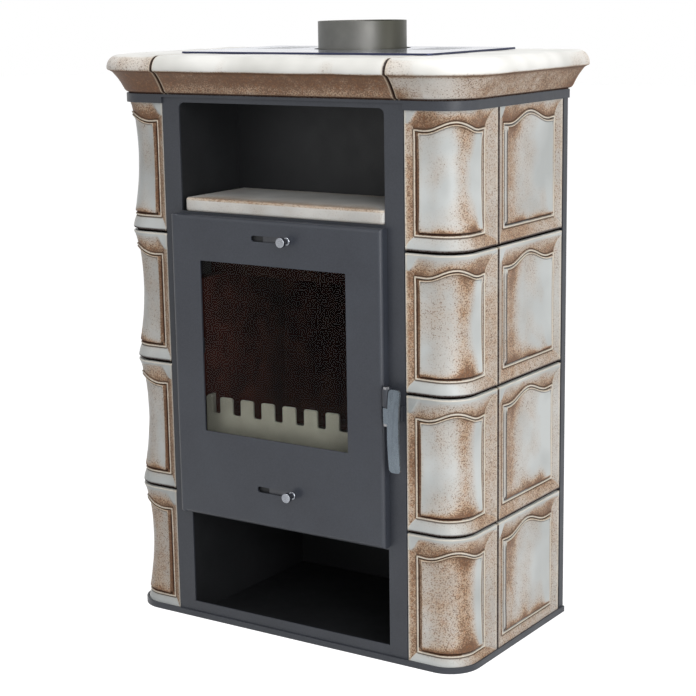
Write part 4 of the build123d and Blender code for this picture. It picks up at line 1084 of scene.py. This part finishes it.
# ---- floor, light and camera, metres and watts
FLOOR_GLOW = 0.80  # brings the floor to white for the camera and reflections alone
WORLD_LIGHT = 0.24
LIGHTS = (  # name, place, what it points at, side of its square, power
    ("key_light", (2.4, -2.2, 2.0), (0.0, 0.0, 0.5), 2.0, 48.0),
    ("fill_light", (-1.4, -3.1, 2.4), (0.0, 0.0, 0.5), 2.0, 10.0),
    ("side_light", (3.3, 0.8, 1.6), (0.1, 0.0, 0.5), 1.8, 24.0),
    ("top_light", (0.3, -0.6, 3.2), (0.0, 0.0, 0.5), 2.0, 44.0),
    ("low_light", (2.7, -1.75, 0.62), (0.2, 0.0, 0.5), 1.1, 21.0),
)
SENSOR_WIDTH = 36.0  # millimetres, as the lens
CAMERA_LENS = 89.23
CAMERA_PLACE = (1.61983, -2.38666, 1.07153)
CAMERA_RIGHT = (0.83279673, 0.55336351, -0.0154409)
CAMERA_UP = (-0.10020454, 0.17811982, 0.97889345)
CAMERA_BACK = (0.54443425, -0.81367202, 0.20378714)


def seen_plainly(s):
    """1 for what is seen directly, in a reflection or through glass, 0 for other light."""
    path = s.node("LightPath").outputs
    seen = s.math("MAXIMUM", path["Is Camera Ray"], path["Is Glossy Ray"])
    return s.math("MAXIMUM", seen, path["Is Transmission Ray"])


def build_floor():
    s = Shade("studio_floor")
    tone = s.remap(s.noise(0.7, 2.0), 0.3, 0.7, 0.50, 0.54)
    color = s.node("CombineColor")
    for channel in color.inputs:
        s.put(channel, tone)
    s.finish(color.outputs[0], 0.7)
    s.put(s.bsdf.inputs["Emission Color"], (1.0, 1.0, 1.0))
    s.put(s.bsdf.inputs["Emission Strength"], s.math("MULTIPLY", seen_plainly(s), FLOOR_GLOW))
    bpy.ops.mesh.primitive_plane_add(size=30.0, location=(0, 0, -0.0005))
    floor = bpy.context.object
    floor.name = "studio_floor"
    floor.data.materials.append(s.mat)


def area_light(name, place, target, size, power):
    data = bpy.data.lights.new(name, "AREA")
    data.energy = power
    data.shape = "RECTANGLE"
    data.size = size
    data.size_y = size
    lamp = bpy.data.objects.new(name, data)
    bpy.context.scene.collection.objects.link(lamp)
    lamp.location = place
    direction = Vector(target) - lamp.location
    lamp.rotation_euler = direction.to_track_quat("-Z", "Y").to_euler()


def build_world():
    world = bpy.data.worlds.new("studio")
    bpy.context.scene.world = world
    world.use_nodes = True
    s = Nodes(world.node_tree)
    background = s.tree.nodes["Background"]
    s.put(background.inputs["Strength"], s.remap(seen_plainly(s), 0.0, 1.0, WORLD_LIGHT, 1.0))
    s.put(background.inputs["Color"], (1.0, 1.0, 1.0))


def build_camera():
    data = bpy.data.cameras.new("camera")
    data.sensor_width = SENSOR_WIDTH
    data.lens = CAMERA_LENS
    data.clip_end = 50.0
    camera = bpy.data.objects.new("camera", data)
    bpy.context.scene.collection.objects.link(camera)
    turn = Matrix((CAMERA_RIGHT, CAMERA_UP, CAMERA_BACK)).transposed().to_4x4()
    camera.matrix_world = Matrix.Translation(CAMERA_PLACE) @ turn
    bpy.context.scene.camera = camera


build_floor()
build_world()
for light in LIGHTS:
    area_light(*light)
build_camera()
bpy.context.scene.view_settings.view_transform = "Standard"
